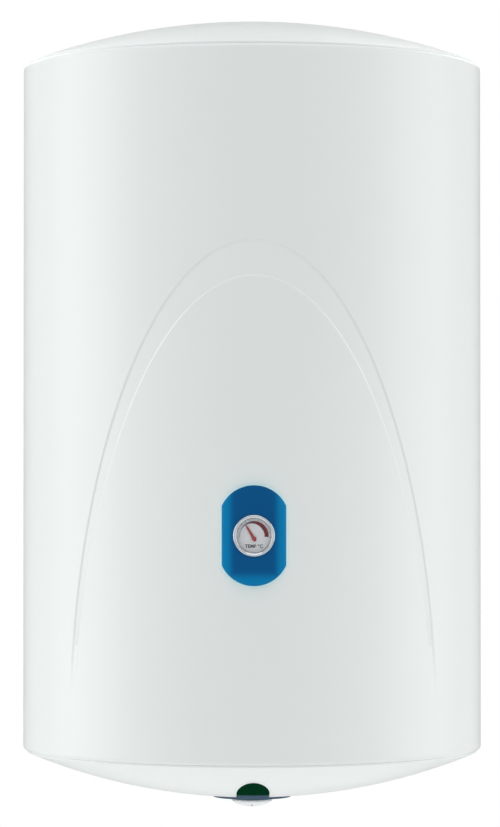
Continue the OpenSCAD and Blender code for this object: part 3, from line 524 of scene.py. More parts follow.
def build_casing():
    bm = bmesh.new()
    exact = bm.verts.layers.float_vector.new("exact_normal")

    def vertex(s, z, depth=0.0, slope=(0.0, 0.0)):
        """A vertex of the outer skin: s round the casing from the front, z over its lower edge."""
        turn = s / CASE_R
        radius = CASE_R - depth
        made = bm.verts.new((radius * math.sin(turn), AXIS_Y - radius * math.cos(turn), CASE_Z0 + z))
        out = Vector((math.sin(turn), -math.cos(turn), 0))
        side = Vector((math.cos(turn), math.sin(turn), 0))
        made[exact] = (out + side * slope[0] + Vector((0, 0, 1)) * slope[1]).normalized()
        return made

    def patch(grid):
        for low, high in zip(grid, grid[1:]):
            for k in range(len(low) - 1):
                bm.faces.new((low[k], low[k + 1], high[k + 1], high[k]))

    rays = 320                             # the front patch is a fan of rays from the arch's foot
    inner_rows, gap_rows, outer_rows = 16, 4, 24
    centre = Vector((0.0, ARCH_FOOT))
    half_w = CASE_R * FRONT_TURN
    plain_top = CASE_Z1 - CASE_Z0 - SHOULDER_R - 8
    outs = [math.pi * i / rays for i in range(rays + 1)]
    outer_arch = (ARCH_HALF_W, ARCH_TOP)
    inner_arch = (ARCH_HALF_W - BAND_FOOT_W, ARCH_TOP - BAND_TOP_W)
    edges = [edge_of_front(centre, arch_point(*outer_arch, t), half_w, plain_top) for t in outs]
    corner = Vector((half_w, plain_top))
    nearest = min(range(len(edges)), key=lambda i: (edges[i] - corner).length)
    edges[nearest] = corner
    for i in range(rays // 2):
        edges[rays - i] = Vector((-edges[i].x, edges[i].y))
    wall = [WALL_HALF * k / 5 for k in range(-5, 6)]
    grid = []
    for i, t in enumerate(outs):
        inner, inner_n = arch_point(*inner_arch, t), arch_normal(*inner_arch, t)
        outer, outer_n = arch_point(*outer_arch, t), arch_normal(*outer_arch, t)
        if i in (0, rays):
            inner_n = Vector((math.copysign(1, inner.x), 0))
            outer_n = inner_n
        row = []
        first = inner + inner_n * wall[0]
        for k in range(1, inner_rows):
            p = centre + (first - centre) * (k / inner_rows)
            row.append(vertex(p.x, p.y))

        def fade(p):
            return smoothstep((p.y - ARCH_FOOT) / (FADE_TOP - ARCH_FOOT)) * BAND_DEPTH

        def wall_rows(base, normal, sign):
            for d in wall:
                p = base + normal * d
                u = (d + WALL_HALF) / (2 * WALL_HALF)
                rise = smoothstep(u) if sign > 0 else 1 - smoothstep(u)
                pitch = sign * 6 * u * (1 - u) / (2 * WALL_HALF) * fade(p)
                row.append(vertex(p.x, p.y, rise * fade(p), (normal.x * pitch, normal.y * pitch)))
        wall_rows(inner, inner_n, 1)
        start = inner + inner_n * wall[-1]
        stop = outer - outer_n * WALL_HALF
        for k in range(1, gap_rows):
            p = start.lerp(stop, k / gap_rows)
            row.append(vertex(p.x, p.y, fade(p)))
        wall_rows(outer, outer_n, -1)
        start = outer + outer_n * wall[-1]
        for k in range(1, outer_rows + 1):
            p = start.lerp(edges[i], (k / outer_rows) ** 1.25)
            row.append(vertex(p.x, p.y))
        grid.append(row)
    patch(grid)
    hub = vertex(centre.x, centre.y)
    for low, high in zip(grid, grid[1:]):
        bm.faces.new((hub, low[0], high[0]))

    # the plain sheet beside and behind the front patch, with rows that meet the patch's own edge points
    close = 0.01
    side_rows = [e.y for e in edges if abs(e.x - half_w) < close]
    round_steps = 112
    back = [half_w + (2 * math.pi * CASE_R - 2 * half_w) * k / round_steps for k in range(round_steps + 1)]
    patch([[vertex(s, z) for s in back] for z in side_rows])

    # the strip under the arch's feet and the one over the patch, both closed round the back
    foot_line = list(reversed(grid[-1])) + [hub] + grid[0]
    foot_s = [CASE_R * math.atan2(v.co.x, AXIS_Y - v.co.y) for v in foot_line]
    top_s = [e.x for e in reversed(edges) if abs(e.y - plain_top) < close]
    end_h = SHOULDER_R + 4                 # height over which the sheet's end is built
    inner_r = CASE_R - LIP_W
    shoulder = rounded([(CASE_R, 0, 0), (CASE_R, end_h, SHOULDER_R), (inner_r, end_h, 0)], 8, False)
    lip = [(inner_r, end_h - SHEET_T), (BRIM_R, end_h - SHEET_T), (CASE_R - SHEET_T, 4 - SHEET_T)]

    def end_rings(columns, start_z, edge_z, direction):
        turns = [s / CASE_R for s in columns] + [s / CASE_R for s in back[1:-1]]
        last = [vertex(t * CASE_R, start_z) for t in turns]
        base_z = edge_z - direction * end_h
        for radius, up in [tuple(p) for p in shoulder] + lip:
            z = CASE_Z0 + base_z + direction * up
            ring = [bm.verts.new((radius * math.sin(t), AXIS_Y - radius * math.cos(t), z)) for t in turns]
            for k in range(len(ring)):
                j = (k + 1) % len(ring)
                bm.faces.new((last[k], last[j], ring[j], ring[k]))
            last = ring
        return last

    ends = [end_rings(foot_s, ARCH_FOOT, 0.0, -1), end_rings(top_s, plain_top, CASE_Z1 - CASE_Z0, 1)]
    loops = [bm.edges.get((ring[k], ring[(k + 1) % len(ring)])) for ring in ends for k in range(len(ring))]
    bmesh.ops.bridge_loops(bm, edges=loops)
    bmesh.ops.remove_doubles(bm, verts=bm.verts, dist=close)
    bmesh.ops.recalc_face_normals(bm, faces=bm.faces)
    obj = make_object("casing_shell", bm, 45)
    mesh = obj.data
    stored = [Vector(item.vector) for item in mesh.attributes["exact_normal"].data]
    mesh.attributes.remove(mesh.attributes["exact_normal"])
    normals = [n if n.length > 0.5 else v.normal for n, v in zip(stored, mesh.vertices)]
    mesh.normals_split_custom_set_from_vertices(normals)
    finish_piece(obj, "casing_enamel", "casing")


# --- covers --------------------------------------------------------------------------------------

SEAM = 0.12                # open joint between a cover's edge and the casing
EDGE_R = 0.9
COVER_T = 2.5
SKIRT_H = 11.0
SKIRT_IN = 5.4             # from the cover's rim to its skirt


def cover_path(rise, hole=0.0):
    """Outline of a domed cover on z = 0, from its apex out, round its edge and back inside."""
    ball = (BRIM_R ** 2 + (rise - BRIM_H) ** 2) / (2 * (rise - BRIM_H))
    steps = 48

    def arc(radius, share):
        first, last = math.asin(hole / radius), share * math.asin((BRIM_R - EDGE_R * 1.6) / ball)
        turns = [first + (last - first) * k / steps for k in range(steps + 1)]
        return [(radius * math.sin(t), rise - ball + radius * math.cos(t)) for t in turns]

    dome = arc(ball, 1.0)
    skirt_r = BRIM_R - SKIRT_IN
    edge = rounded([(*dome[-1], 0), (BRIM_R, BRIM_H, EDGE_R * 1.4), (BRIM_R, SEAM, EDGE_R * 0.1),
                    (skirt_r, SEAM, 0)], 6, False)
    skirt = [(skirt_r, -SKIRT_H), (skirt_r - COVER_T, -SKIRT_H), (skirt_r - COVER_T, 0.0)]
    return dome + [tuple(p) for p in edge[1:]] + skirt + arc(ball - COVER_T, 0.96)[::-1]


def build_top_cover():
    path = cover_path(TOP_Z - CASE_Z1)
    bm = turned_shape(path, upright(0, AXIS_Y, CASE_Z1), 288, closed=False)
    piece("top_cover_shell", bm, "cover_plastic", "top_cover")


# --- badge and thermometer -----------------------------------------------------------------------

panel_low, panel_high = corners("badge_panel")
BADGE_Z = (panel_low.z + panel_high.z) / 2
BADGE_HALF_W = half_width("badge_panel")
BADGE_HALF_H = (panel_high.z - panel_low.z) / 2
BADGE_FACE_Y = panel_low.y
BADGE_BOW_R = 85.0
END_ARC_EXTRA = 3.0


def badge_reach(angle, grow):
    """Distance of the badge's outline from its middle at an angle, with the outline moved out by grow."""
    half_w = BADGE_HALF_W + grow
    end_r = BADGE_HALF_W + END_ARC_EXTRA + grow
    off = BADGE_HALF_H + grow - end_r
    c, s = abs(math.cos(angle)), abs(math.sin(angle))
    side = half_w / c if c > 1e-9 else 1e9
    under_root = end_r ** 2 - (off * c) ** 2
    return min(side, off * s + math.sqrt(under_root)) if under_root > 0 else side


def badge_angles():
    """Angles round the badge: even steps, plus the four corners where the sides meet the end arcs."""
    end_r = BADGE_HALF_W + END_ARC_EXTRA
    off = BADGE_HALF_H - end_r
    corner_z = off + math.sqrt(end_r ** 2 - BADGE_HALF_W ** 2)
    corner = math.atan2(corner_z, BADGE_HALF_W)
    count = 160
    even = [2 * math.pi * k / count for k in range(count)]
    for angle in (corner, math.pi - corner, math.pi + corner, 2 * math.pi - corner):
        nearest = min(range(count), key=lambda i: abs(even[i] - angle))
        even[nearest] = angle
    return even


def bowed_y(x, back=0.0):
    """The badge's bowed face, moved back by `back`."""
    return BADGE_FACE_Y + back + BADGE_BOW_R - math.sqrt(BADGE_BOW_R ** 2 - x * x)


def casing_y(x, stand=0.0):
    radius = CASE_R + stand
    return AXIS_Y - math.sqrt(radius * radius - x * x)


def build_badge():
    angles = badge_angles()
    hole_r = half_width("gauge_bezel") + 0.3
    seat_y = corners("gauge_bezel")[1].y

    def outline(grow, back):
        ring = []
        for a in angles:
            reach = badge_reach(a, grow)
            x, z = reach * math.cos(a), reach * math.sin(a)
            ring.append((x, bowed_y(x, back), BADGE_Z + z))
        return ring

    edge_w, edge_d = 7.5, 1.8              # the face rolls over to its edge in a quarter of an ellipse
    rings = [[(reach[0], casing_y(reach[0], 0.3), reach[2]) for reach in outline(0, 0)]]
    rings.append(outline(0, edge_d + 0.2))
    rings += [outline(-edge_w * across, edge_d * down) for across, down in quarter(12)]
    inner = rings[-1]
    face_rows = 18
    for k in range(1, face_rows + 1):
        share = (k / face_rows) ** 1.2
        ring = []
        for a, p in zip(angles, inner):
            x = p[0] + (hole_r * math.cos(a) - p[0]) * share
            z = p[2] + (BADGE_Z + hole_r * math.sin(a) - p[2]) * share
            ring.append((x, bowed_y(x), z))
        rings.append(ring)
    lip = [(x * 0.985, y + 0.5, BADGE_Z + (z - BADGE_Z) * 0.985) for x, y, z in rings[-1]]
    rings.append(lip)
    rings.append([(x, seat_y, z) for x, y, z in lip])
    neck_r = half_width("gauge_housing") + 0.6
    neck = [(neck_r * math.cos(a), BADGE_Z + neck_r * math.sin(a)) for a in angles]
    rings += [[(x, seat_y, z) for x, z in neck], [(x, casing_y(x, 0.3), z) for x, z in neck]]
    bm = bmesh.new()
    loft(bm, rings, wrap=True)
    piece("badge_body", bm, "badge_blue", "badge_panel", sharp_deg=28)

    width = half_width("badge_trim") - BADGE_HALF_W
    back = edge_d - 0.45
    section = [(0.12, None), (0.12, 0.45), (0.3, 0.15), (0.6, 0.0),        # (out from the panel, drop)
               (width - 0.6, 0.0), (width - 0.25, 0.18), (width, 0.6), (width, None)]
    rings = []
    for grow, drop in section:
        if drop is None:
            rings.append([(x, casing_y(x, 0.1), z) for x, y, z in outline(grow, 0)])
        else:
            rings.append(outline(grow, back + drop))
    bm = bmesh.new()
    loft(bm, rings, wrap=True)
    piece("badge_rim", bm, "badge_rim", "badge_trim", sharp_deg=50)


def build_gauge():
    bezel_low, bezel_high = corners("gauge_bezel")
    outer_r = half_width("gauge_bezel")
    depth = bezel_high.y - bezel_low.y
    lens_low, lens_high = corners("gauge_lens")
    lens_r = half_width("gauge_lens")
    place = facing_front(0, bezel_high.y, BADGE_Z)
    ring = rounded([(outer_r, 0, 0.2), (outer_r, depth - 0.5, 1.1), (outer_r - 1.4, depth, 0.8),
                    (lens_r - 0.5, depth - 0.6, 0.25), (lens_r - 1.1, depth - 1.0, 0.05),
                    (lens_r + 0.1, depth - 1.05, 0), (lens_r + 0.1, 0, 0)], 6)
    piece("gauge_ring", turned_shape(ring, place, 128), "bezel_chrome", "gauge_bezel")

    thick = lens_high.y - lens_low.y
    place = facing_front(0, lens_high.y, BADGE_Z)
    bevel = 0.15
    lens = [(0, thick), (lens_r - bevel, thick), (lens_r, thick - bevel),
            (lens_r, bevel), (lens_r - bevel, 0), (0, 0)]
    piece("gauge_glass", turned_shape(lens, place, closed=False), "clear_lens", "gauge_lens")

    # printed scale: a crescent that grows from cold on the left to hot on the right
    face_y = corners("gauge_dial")[0].y
    scale_r = half_width("gauge_dial") - 2.6
    scale_first, scale_span = 186, 192     # in degrees, from cold round to hot
    pivot = middle("gauge_shaft")
    steps = 72
    bm = bmesh.new()
    rows = []
    for k in range(steps + 1):
        share = k / steps
        angle = math.radians(scale_first - scale_span * share)
        width = 0.5 + 3.3 * smoothstep(share * 1.25) ** 1.5
        for r in (scale_r - width, scale_r):
            rows.append(bm.verts.new((r * math.cos(angle), face_y - 0.06, BADGE_Z + r * math.sin(angle))))
    for k in range(steps):
        bm.faces.new((rows[2 * k], rows[2 * k + 1], rows[2 * k + 3], rows[2 * k + 2]))
    pushed(bm, list(bm.faces), (0, 0.05, 0))
    ink = Maker("scale_ink", linear(120, 14, 24), 0.5, Specular_IOR_Level=0.1)
    across = mapped(ink.tree, ink.axis("X"), -scale_r * MM, scale_r * MM, kind="LINEAR")
    ramp = ink.node("ShaderNodeValToRGB", {"Fac": across})
    stops = ramp.color_ramp.elements
    stops[0].position, stops[0].color = 0.1, (*linear(96, 112, 150), 1)
    stops[1].position, stops[1].color = 0.62, (*linear(112, 0, 18), 1)
    stops.new(0.36).color = (*linear(88, 44, 84), 1)
    ink.link(ramp.outputs["Color"], "Base Color")
    piece("dial_scale", bm, "dial_white", material=ink.material)

    # fine marks along the scale's outer side
    bm = bmesh.new()
    for k in range(13):
        angle = math.radians(scale_first - scale_span * k / 12)
        long = 1.7 if k % 3 == 0 else 1.0
        mark = bmesh.ops.create_cube(bm, size=1.0)
        bmesh.ops.scale(bm, vec=(long, 0.06, 0.28), verts=mark["verts"])
        bmesh.ops.translate(bm, vec=(scale_r + 0.5 + long / 2, 0, 0), verts=mark["verts"])
        bmesh.ops.rotate(bm, matrix=Matrix.Rotation(-angle, 3, "Y"), verts=mark["verts"])
        bmesh.ops.translate(bm, vec=(0, face_y - 0.03, BADGE_Z), verts=mark["verts"])
    piece("dial_marks", bm, "dial_white", material=moulding("mark_ink", linear(60, 64, 74), 0.6, 0.002))

    # the unit under the pivot
    text = bpy.data.curves.new("dial_unit", "FONT")
    text.body = "TEMP °C"
    text.size = 4.4 * MM
    text.extrude = 0.03 * MM
    text.offset = 0.12 * MM
    text.align_x = "CENTER"
    lettering = placed("lettering", text)
    bm = bmesh.new()
    bm.from_mesh(worked_mesh(lettering))
    bpy.data.objects.remove(lettering)
    bmesh.ops.remove_doubles(bm, verts=bm.verts, dist=1e-6)
    bmesh.ops.dissolve_degenerate(bm, dist=1e-5, edges=bm.edges)
    bmesh.ops.scale(bm, vec=(1 / MM, 1 / MM, 1 / MM), verts=bm.verts)
    bmesh.ops.transform(bm, matrix=facing_front(0, face_y - 0.04, pivot.z - 8.4), verts=bm.verts)
    unit_ink = moulding("unit_ink", linear(30, 36, 58), 0.6, 0.002)
    finish_piece(make_object("dial_unit", bm), "dial_white", material=unit_ink)

    # needle with a raised spine and a domed hub
    tip = corners("gauge_needle")[1]
    lean = math.radians(31)                # from upright, at rest
    length = (tip.z - pivot.z) / math.cos(lean)
    base = Matrix.Translation((pivot.x, tip.y, pivot.z)) @ Matrix.Rotation(-lean, 4, "Y")
    half_at = [(-2.6, 0.9), (-2.2, 1.15), (0, 1.4), (2.4, 1.4),            # (place along it, half width)
               (length * 0.5, 1.1), (length * 0.85, 0.6), (length, 0.1)]
    bm = bmesh.new()
    rings = []
    for along, half in half_at:
        section = ((-half, 0), (half, 0), (half, -0.25), (0, -0.55), (-half, -0.25))
        rings.append([base @ Vector((x, y, along)) for x, y in section])
    loft(bm, rings, close_first=True, close_last=True)
    hub = facing_front(pivot.x, tip.y, pivot.z)
    hub_path = rounded([(0, 0, 0), (2.0, 0, 0), (2.0, 0.9, 0.3), (1.0, 1.15, 0.4), (0, 1.18, 0)], 4, False)
    turned(bm, hub_path, 40, hub, closed=False)
    piece("needle_blade", bm, "needle_red", "gauge_needle", body="needle", sharp_deg=30)


# --- underside -----------------------------------------------------------------------------------

SCREW_TURNS = (15, 90, 165)
SCREW_HEAD_R = 4.8
WELL_R = 5.5
PIPES = {"hot": middle("hot_nipple"), "cold": middle("cold_nipple")}
GLAND = middle("cable_gland")
HUB_HOLE_R = 7.5
COLLAR_HOLE_R = 13.9
GLAND_HOLE_R = 8.3


def screw_places():
    """Middles of the three cover screws, on one circle round the axis and level with their heads' faces."""
    low, high = corners("cover_screws")
    ring_r = high.y - SCREW_HEAD_R - AXIS_Y
    turns = [math.radians(t) for t in SCREW_TURNS]
    return [Vector((ring_r * math.cos(t), AXIS_Y + ring_r * math.sin(t), low.z)) for t in turns]


def dome_z(x, y, stand=0.0):
    """Height of the bottom cover's outer face, moved outwards by `stand`, at a place in the plan."""
    return under_z(math.hypot(x, y - AXIS_Y), stand)


def applied(obj, cutter, operation="DIFFERENCE"):
    """Works a boolean of the cutter into an object's mesh. The cutter is used up."""
    modifier = obj.modifiers.new("cut", "BOOLEAN")
    modifier.operation = operation
    modifier.solver = "EXACT"
    modifier.object = cutter
    baked(obj, cutter)


def baked(obj, *used_up):
    """Works an object's modifiers into its mesh."""
    mesh = worked_mesh(obj)
    obj.modifiers.clear()
    obj.data = mesh
    for other in used_up:
        bpy.data.objects.remove(other)


def build_bottom_cover():
    path = [(r, -z) for r, z in cover_path(CASE_Z0 - BOTTOM_Z, HUB_HOLE_R)]
    obj = make_object("bottom_cover_shell", turned_shape(path, upright(0, AXIS_Y, CASE_Z0), 288))
    bm = bmesh.new()
    holes = [(p, WELL_R + 0.1) for p in screw_places()]
    holes += [(p, COLLAR_HOLE_R) for p in PIPES.values()] + [(GLAND, GLAND_HOLE_R)]
    low_z, top_z = BOTTOM_Z - 5, CASE_Z0 - 3
    for p, r in holes:
        turned(bm, [(0, low_z), (r, low_z), (r, top_z), (0, top_z)], 64, upright(p.x, p.y), closed=False)
    bmesh.ops.recalc_face_normals(bm, faces=bm.faces)
    applied(obj, make_object("cover_cutter", bm))
    obj.data.set_sharp_from_angle(angle=math.radians(32))
    finish_piece(obj, "cover_plastic", "bottom_cover")


def domed_sleeve(bm, x, y, outer_r, inner_r, low_z, top_z, steps=72, sunk=0.15, edge=0.8):
    """A round sleeve whose outer wall starts on the dome and whose flat end is at low_z."""
    def ring(radius, z=None):
        spots = around(x, y, lambda a: radius, steps)
        return [(*spot, dome_z(*spot) + sunk if z is None else z) for spot in spots]
    rings = [ring(outer_r), ring(outer_r, low_z + edge)]
    rings += [ring(outer_r - edge * c, low_z + edge * s) for c, s in quarter(6, 1)]
    mouth = edge * 0.6
    rings += [ring(inner_r + mouth * s, low_z + mouth * c) for c, s in quarter(6)]
    rings += [ring(inner_r, top_z), ring((inner_r + outer_r) / 2, top_z)]
    loft(bm, rings, wrap=True)


def build_screw_wells():
    """The counterbores of the cover screws, from the dome up to the heads' seat."""
    bm = bmesh.new()
    for p in screw_places():
        mouth_z, seat_z = dome_z(p.x, p.y) + 3.2, CASE_Z0 - 4.1
        domed_sleeve(bm, p.x, p.y, WELL_R + 0.9, WELL_R, mouth_z, seat_z, steps=48, sunk=2.4, edge=0.2)
    piece("screw_wells", bm, "cover_plastic", sharp_deg=40)


def build_collars():
    for name in ("hot", "cold"):
        node = name + "_collar"
        p = PIPES[name]
        bore_r = half_width(name + "_nipple") + 0.2
        bm = bmesh.new()
        domed_sleeve(bm, p.x, p.y, half_width(node), bore_r, corners(node)[0].z, dome_z(p.x, p.y) + 6)
        piece(name + "_ring", bm, "collar_red" if name == "hot" else "collar_blue", node, sharp_deg=40)


THREAD_PITCH = 1.814       # G 1/2
THREAD_DEPTH = 1.16
THREAD_L = 13.0
NIPPLE_BORE_R = 7.5


def build_nipples():
    """Both connections, with their round-crested pipe thread and a chamfered end."""
    steps = 84
    rows_per_turn = 12
    for name, p in PIPES.items():
        low, high = corners(name + "_nipple")
        outer_r = half_width(name + "_nipple")
        plain_r = outer_r - 0.4
        length = high.z - low.z
        rows = int(THREAD_L / THREAD_PITCH * rows_per_turn)
        bm = bmesh.new()

        def ring(z, radius_of):
            return [(*spot, low.z + z) for spot in around(p.x, p.y, radius_of, steps)]

        def thread_r(z, a):
            phase = z / THREAD_PITCH - a / (2 * math.pi)
            cut = THREAD_DEPTH * (0.5 - 0.5 * math.cos(2 * math.pi * phase))
            runout = smoothstep((THREAD_L - z) / 1.5)
            chamfer = outer_r - 1.3 + z
            return min(outer_r - cut * runout, chamfer)

        plain = [(THREAD_L + 0.3, plain_r), (length, plain_r), (length, NIPPLE_BORE_R), (0.4, NIPPLE_BORE_R),
                 (0.0, NIPPLE_BORE_R + 0.4)]
        heights = [THREAD_L * row / rows for row in range(rows + 1)]
        rings = [ring(z, lambda a, z=z: thread_r(z, a)) for z in heights]
        rings += [ring(z, lambda a, r=r: r) for z, r in plain]
        loft(bm, rings, wrap=True)
        piece(name + "_thread", bm, "nipple_steel", name + "_nipple", sharp_deg=40)


def build_gland():
    low, high = corners("cable_gland")
    cap_low, cap_high = corners("gland_cap")
    x, y = GLAND.x, GLAND.y
    bore_r = 5.0
    bm = bmesh.new()
    domed_sleeve(bm, x, y, half_width("cable_gland"), bore_r, low.z, high.z)
    body_r = 8.0
    tube = [(bore_r, low.z + 2), (body_r, low.z + 2), (body_r, high.z), (bore_r, high.z)]
    turned(bm, tube, 72, upright(x, y))
    piece("gland_body", bm, "white_plastic", "cable_gland", sharp_deg=40)

    hex_low = cap_low.z + 4
    apothem = (cap_high.y - cap_low.y) / 2

    def hexed(r, z, angle):
        """Flats on the stretch that is wider than the round end."""
        if r <= body_r + 0.4:
            return r
        flat = apothem / math.cos((angle % math.radians(60)) - math.radians(30))
        return min(r, flat)

    corner_r = half_width("gland_cap")
    top = cap_high.z
    path = [(bore_r, cap_low.z + 0.8), (bore_r + 0.5, cap_low.z + 0.25), (bore_r + 1.2, cap_low.z),
            (body_r - 1.6, cap_low.z), (body_r - 0.5, cap_low.z + 0.5), (body_r, cap_low.z + 1.6),
            (body_r, hex_low), (apothem - 0.2, hex_low + 0.15), (corner_r - 0.5, hex_low + 0.9),
            (corner_r, hex_low + 1.5), (corner_r, top - 1.2), (corner_r - 0.5, top - 0.6),
            (apothem - 0.2, top), (bore_r, top)]
    bm = turned_shape(path, upright(x, y), radius_at=hexed)
    piece("gland_nut", bm, "white_plastic", "gland_cap", sharp_deg=35)


TONGUE_HALF_W = 15.6


def plate_edge(inset):
    """Outline of the control plate, moved in by `inset`: a disc and a tongue towards the front, blended."""
    disc_r = half_width("control_plate")
    reach = AXIS_Y - corners("control_plate")[0].y
    half_w = TONGUE_HALF_W
    blend = 9.0
    side = half_w + blend
    drop = math.sqrt((disc_r + blend) ** 2 - side ** 2)
    turn_in = math.atan2(drop, side)
    r = disc_r - inset
    points = []
    for k in range(121):                                   # the disc, from its right blend round the back
        a = -turn_in + (math.pi + 2 * turn_in) * k / 120
        points.append((r * math.cos(a), r * math.sin(a)))
    f = blend + inset
    for k in range(1, 9):                                  # left blend, down to the tongue's side
        a = turn_in * (1 - k / 8)
        points.append((-side + f * math.cos(a), -drop + f * math.sin(a)))
    corner = 4.0
    w, end = half_w - inset, reach - inset
    for k in range(1, 17):
        points.append((-w, -drop - (end - corner - drop) * k / 16))
    for k in range(1, 7):
        a = math.radians(180 + 90 * k / 6)
        points.append((-w + corner + corner * math.cos(a), -end + corner + corner * math.sin(a)))
    for k in range(1, 9):
        points.append((-w + corner + (2 * w - 2 * corner) * k / 8, -end))
    mirrored = [(-x, y) for x, y in points[121:-8]][::-1]
    return points + mirrored


def build_control_plate():
    stand = 2.4
    edge = 1.1
    base = plate_edge(0)
    rings = [[(x, y, 0.2) for x, y in base], [(x, y, stand - edge) for x, y in base]]
    rings += [[(x, y, stand - edge * s) for x, y in plate_edge(edge * c)] for c, s in quarter(6, 1)]
    last = rings[-1]
    for k in range(1, 27):
        share = k / 26
        ring = []
        for x, y, h in last:
            far = math.hypot(x, y)
            near = far + (HUB_HOLE_R - far) * share
            ring.append((x * near / far, y * near / far, stand))
        rings.append(ring)
    rings.append([(x, y, 0.2) for x, y, h in rings[-1]])
    bm = bmesh.new()
    loft(bm, on_dome(rings), wrap=True)
    bmesh.ops.remove_doubles(bm, verts=bm.verts, dist=0.005)
    piece("control_panel", bm, "plate_blue_grey", "control_plate", sharp_deg=40)


def window_edge(grow):
    """Outline of the pilot window: straight at the back, and a half circle when seen from the front."""
    low, high = corners("pilot_window")
    half_w = half_width("pilot_window") + grow
    near, far = AXIS_Y - high.y - grow, AXIS_Y - low.y + grow
    front = [math.pi * k / 64 for k in range(65)]
    reach = far ** 2 - near ** 2
    points = [(half_w * math.cos(t), -math.sqrt(near ** 2 + reach * math.sin(t))) for t in front]
    return points + [(-half_w + 2 * half_w * k / 16, -near) for k in range(1, 16)]


def build_pilot_window():
    edge = 0.5
    pane_stand = 1.5
    rings = [[(x, y, stand) for x, y in window_edge(0)] for stand in (-1.0, pane_stand - edge)]
    rings += [[(x, y, pane_stand - edge * s) for x, y in window_edge(-edge * c)] for c, s in quarter(4, 1)]
    low, high = corners("pilot_window")
    mid_y = (low.y + high.y) / 2 - AXIS_Y
    last = rings[-1]
    for k in range(1, 13):
        left = 1 - 0.98 * k / 12
        rings.append([(x * left, mid_y + (y - mid_y) * left, pane_stand) for x, y, h in last])
    bm = bmesh.new()
    loft(bm, on_dome(rings), True, True)
    piece("lamp_pane", bm, "window_green", "pilot_window", sharp_deg=40)

    rim_w, rim_stand = 2.4, 1.0
    section = [(0.3, -0.5), (0.3, 0.7), (0.5, 0.92), (0.8, rim_stand),     # (out from the pane, stand)
               (rim_w - 0.7, rim_stand), (rim_w - 0.25, 0.8), (rim_w, 0.35), (rim_w, -0.5)]
    bm = bmesh.new()
    loft(bm, on_dome([[(x, y, h) for x, y in window_edge(grow)] for grow, h in section]), wrap=True)
    piece("lamp_pane_rim", bm, "cover_plastic", sharp_deg=40)


KNOB_BALL_R = 39.0
KNOB_MID = middle("temperature_knob")
KNOB_LOW_Z = corners("temperature_knob")[0].z


def knob_face(r):
    """Height of the knob's domed face over its lowest point, at r from its middle."""
    return KNOB_BALL_R - math.sqrt(KNOB_BALL_R ** 2 - r * r)


def build_pointer():
    """The mark let into the knob's face: a thin strip that follows the dome."""
    low, high = corners("knob_pointer")
    half_w, proud, depth = half_width("knob_pointer"), 0.04, 0.5
    first, last = low.y - KNOB_MID.y + 0.4, high.y - KNOB_MID.y - 0.4
    section = [(-half_w, -depth), (-half_w, proud), (-half_w / 3, proud),  # (across, stand)
               (half_w / 3, proud), (half_w, proud), (half_w, -depth)]
    rings = []
    for k in range(25):
        y = first + (last - first) * k / 24
        rings.append([(KNOB_MID.x + x, KNOB_MID.y + y, KNOB_LOW_Z + knob_face(math.hypot(x, y)) - stand)
                      for x, stand in section])
    bm = bmesh.new()
    loft(bm, rings, close_first=True, close_last=True)
    piece("knob_mark", bm, "pointer_blue", "knob_pointer", body="knob")


# --- wall brackets -------------------------------------------------------------------------------

LEG_REACH = 168.0          # from the axis to where a bracket's legs start, inside the casing


def build_bracket(node, name):
    """A bent strip of steel: two legs out of the casing, and a plate with two slots against the wall."""
    low, high = corners(node)
    steel = 3.0
    half_h = (high.z - low.z) / 2
    leg_half_h = half_h - 5
    mid_z = (low.z + high.z) / 2
    half_w = high.x
    legs_from = AXIS_Y + LEG_REACH
    outer = [(-half_w, legs_from, 0), (-half_w, high.y, 6.0), (half_w, high.y, 6.0), (half_w, legs_from, 0)]
    inner = [(half_w - steel, legs_from, 0), (half_w - steel, high.y - steel, 3.0),
             (-half_w + steel, high.y - steel, 3.0), (-half_w + steel, legs_from, 0)]
    plan = rounded(outer, 8, False) + rounded(inner, 8, False)
    bm = bmesh.new()
    face = bm.faces.new([bm.verts.new((p[0], p[1], mid_z - leg_half_h)) for p in plan])
    pushed(bm, [face], (0, 0, 2 * leg_half_h))
    strip = make_object(name, bm, 40)

    def slab(x, w, h, corner_r, steps, y0, y1):
        """A plate with rounded corners, w and h each way from its middle at x."""
        ends = [(x - w, -h), (x + w, -h), (x + w, h), (x - w, h)]
        outline = rounded([(*end, corner_r) for end in ends], steps)
        work = bmesh.new()
        base = work.faces.new([work.verts.new((p[0], y0, mid_z + p[1])) for p in outline])
        pushed(work, [base], (0, y1 - y0, 0))
        return make_object("slab", work)

    applied(strip, slab(0, half_w - 6.5, half_h, 5, 6, high.y - steel, high.y), "UNION")
    slot_half_w, slot_half_l, pitch = 5.5, 11.0, 100.0
    cut_from, cut_to = high.y - steel - 2, high.y + 2
    for x in (-pitch, pitch):
        applied(strip, slab(x, slot_half_l, slot_half_w, slot_half_w - 0.01, 12, cut_from, cut_to))
    bevel = strip.modifiers.new("edges", "BEVEL")
    bevel.width = 0.4 * MM
    bevel.segments = 2
    bevel.limit_method = "ANGLE"
    bevel.angle_limit = math.radians(50)
    baked(strip)
    for vertex in strip.data.vertices:                     # the bevel must not leave the wall's plane
        vertex.co.y = min(vertex.co.y, high.y * MM)
    strip.data.shade_smooth()
    strip.data.set_sharp_from_angle(angle=math.radians(40))
    finish_piece(strip, "zinc_steel", node)


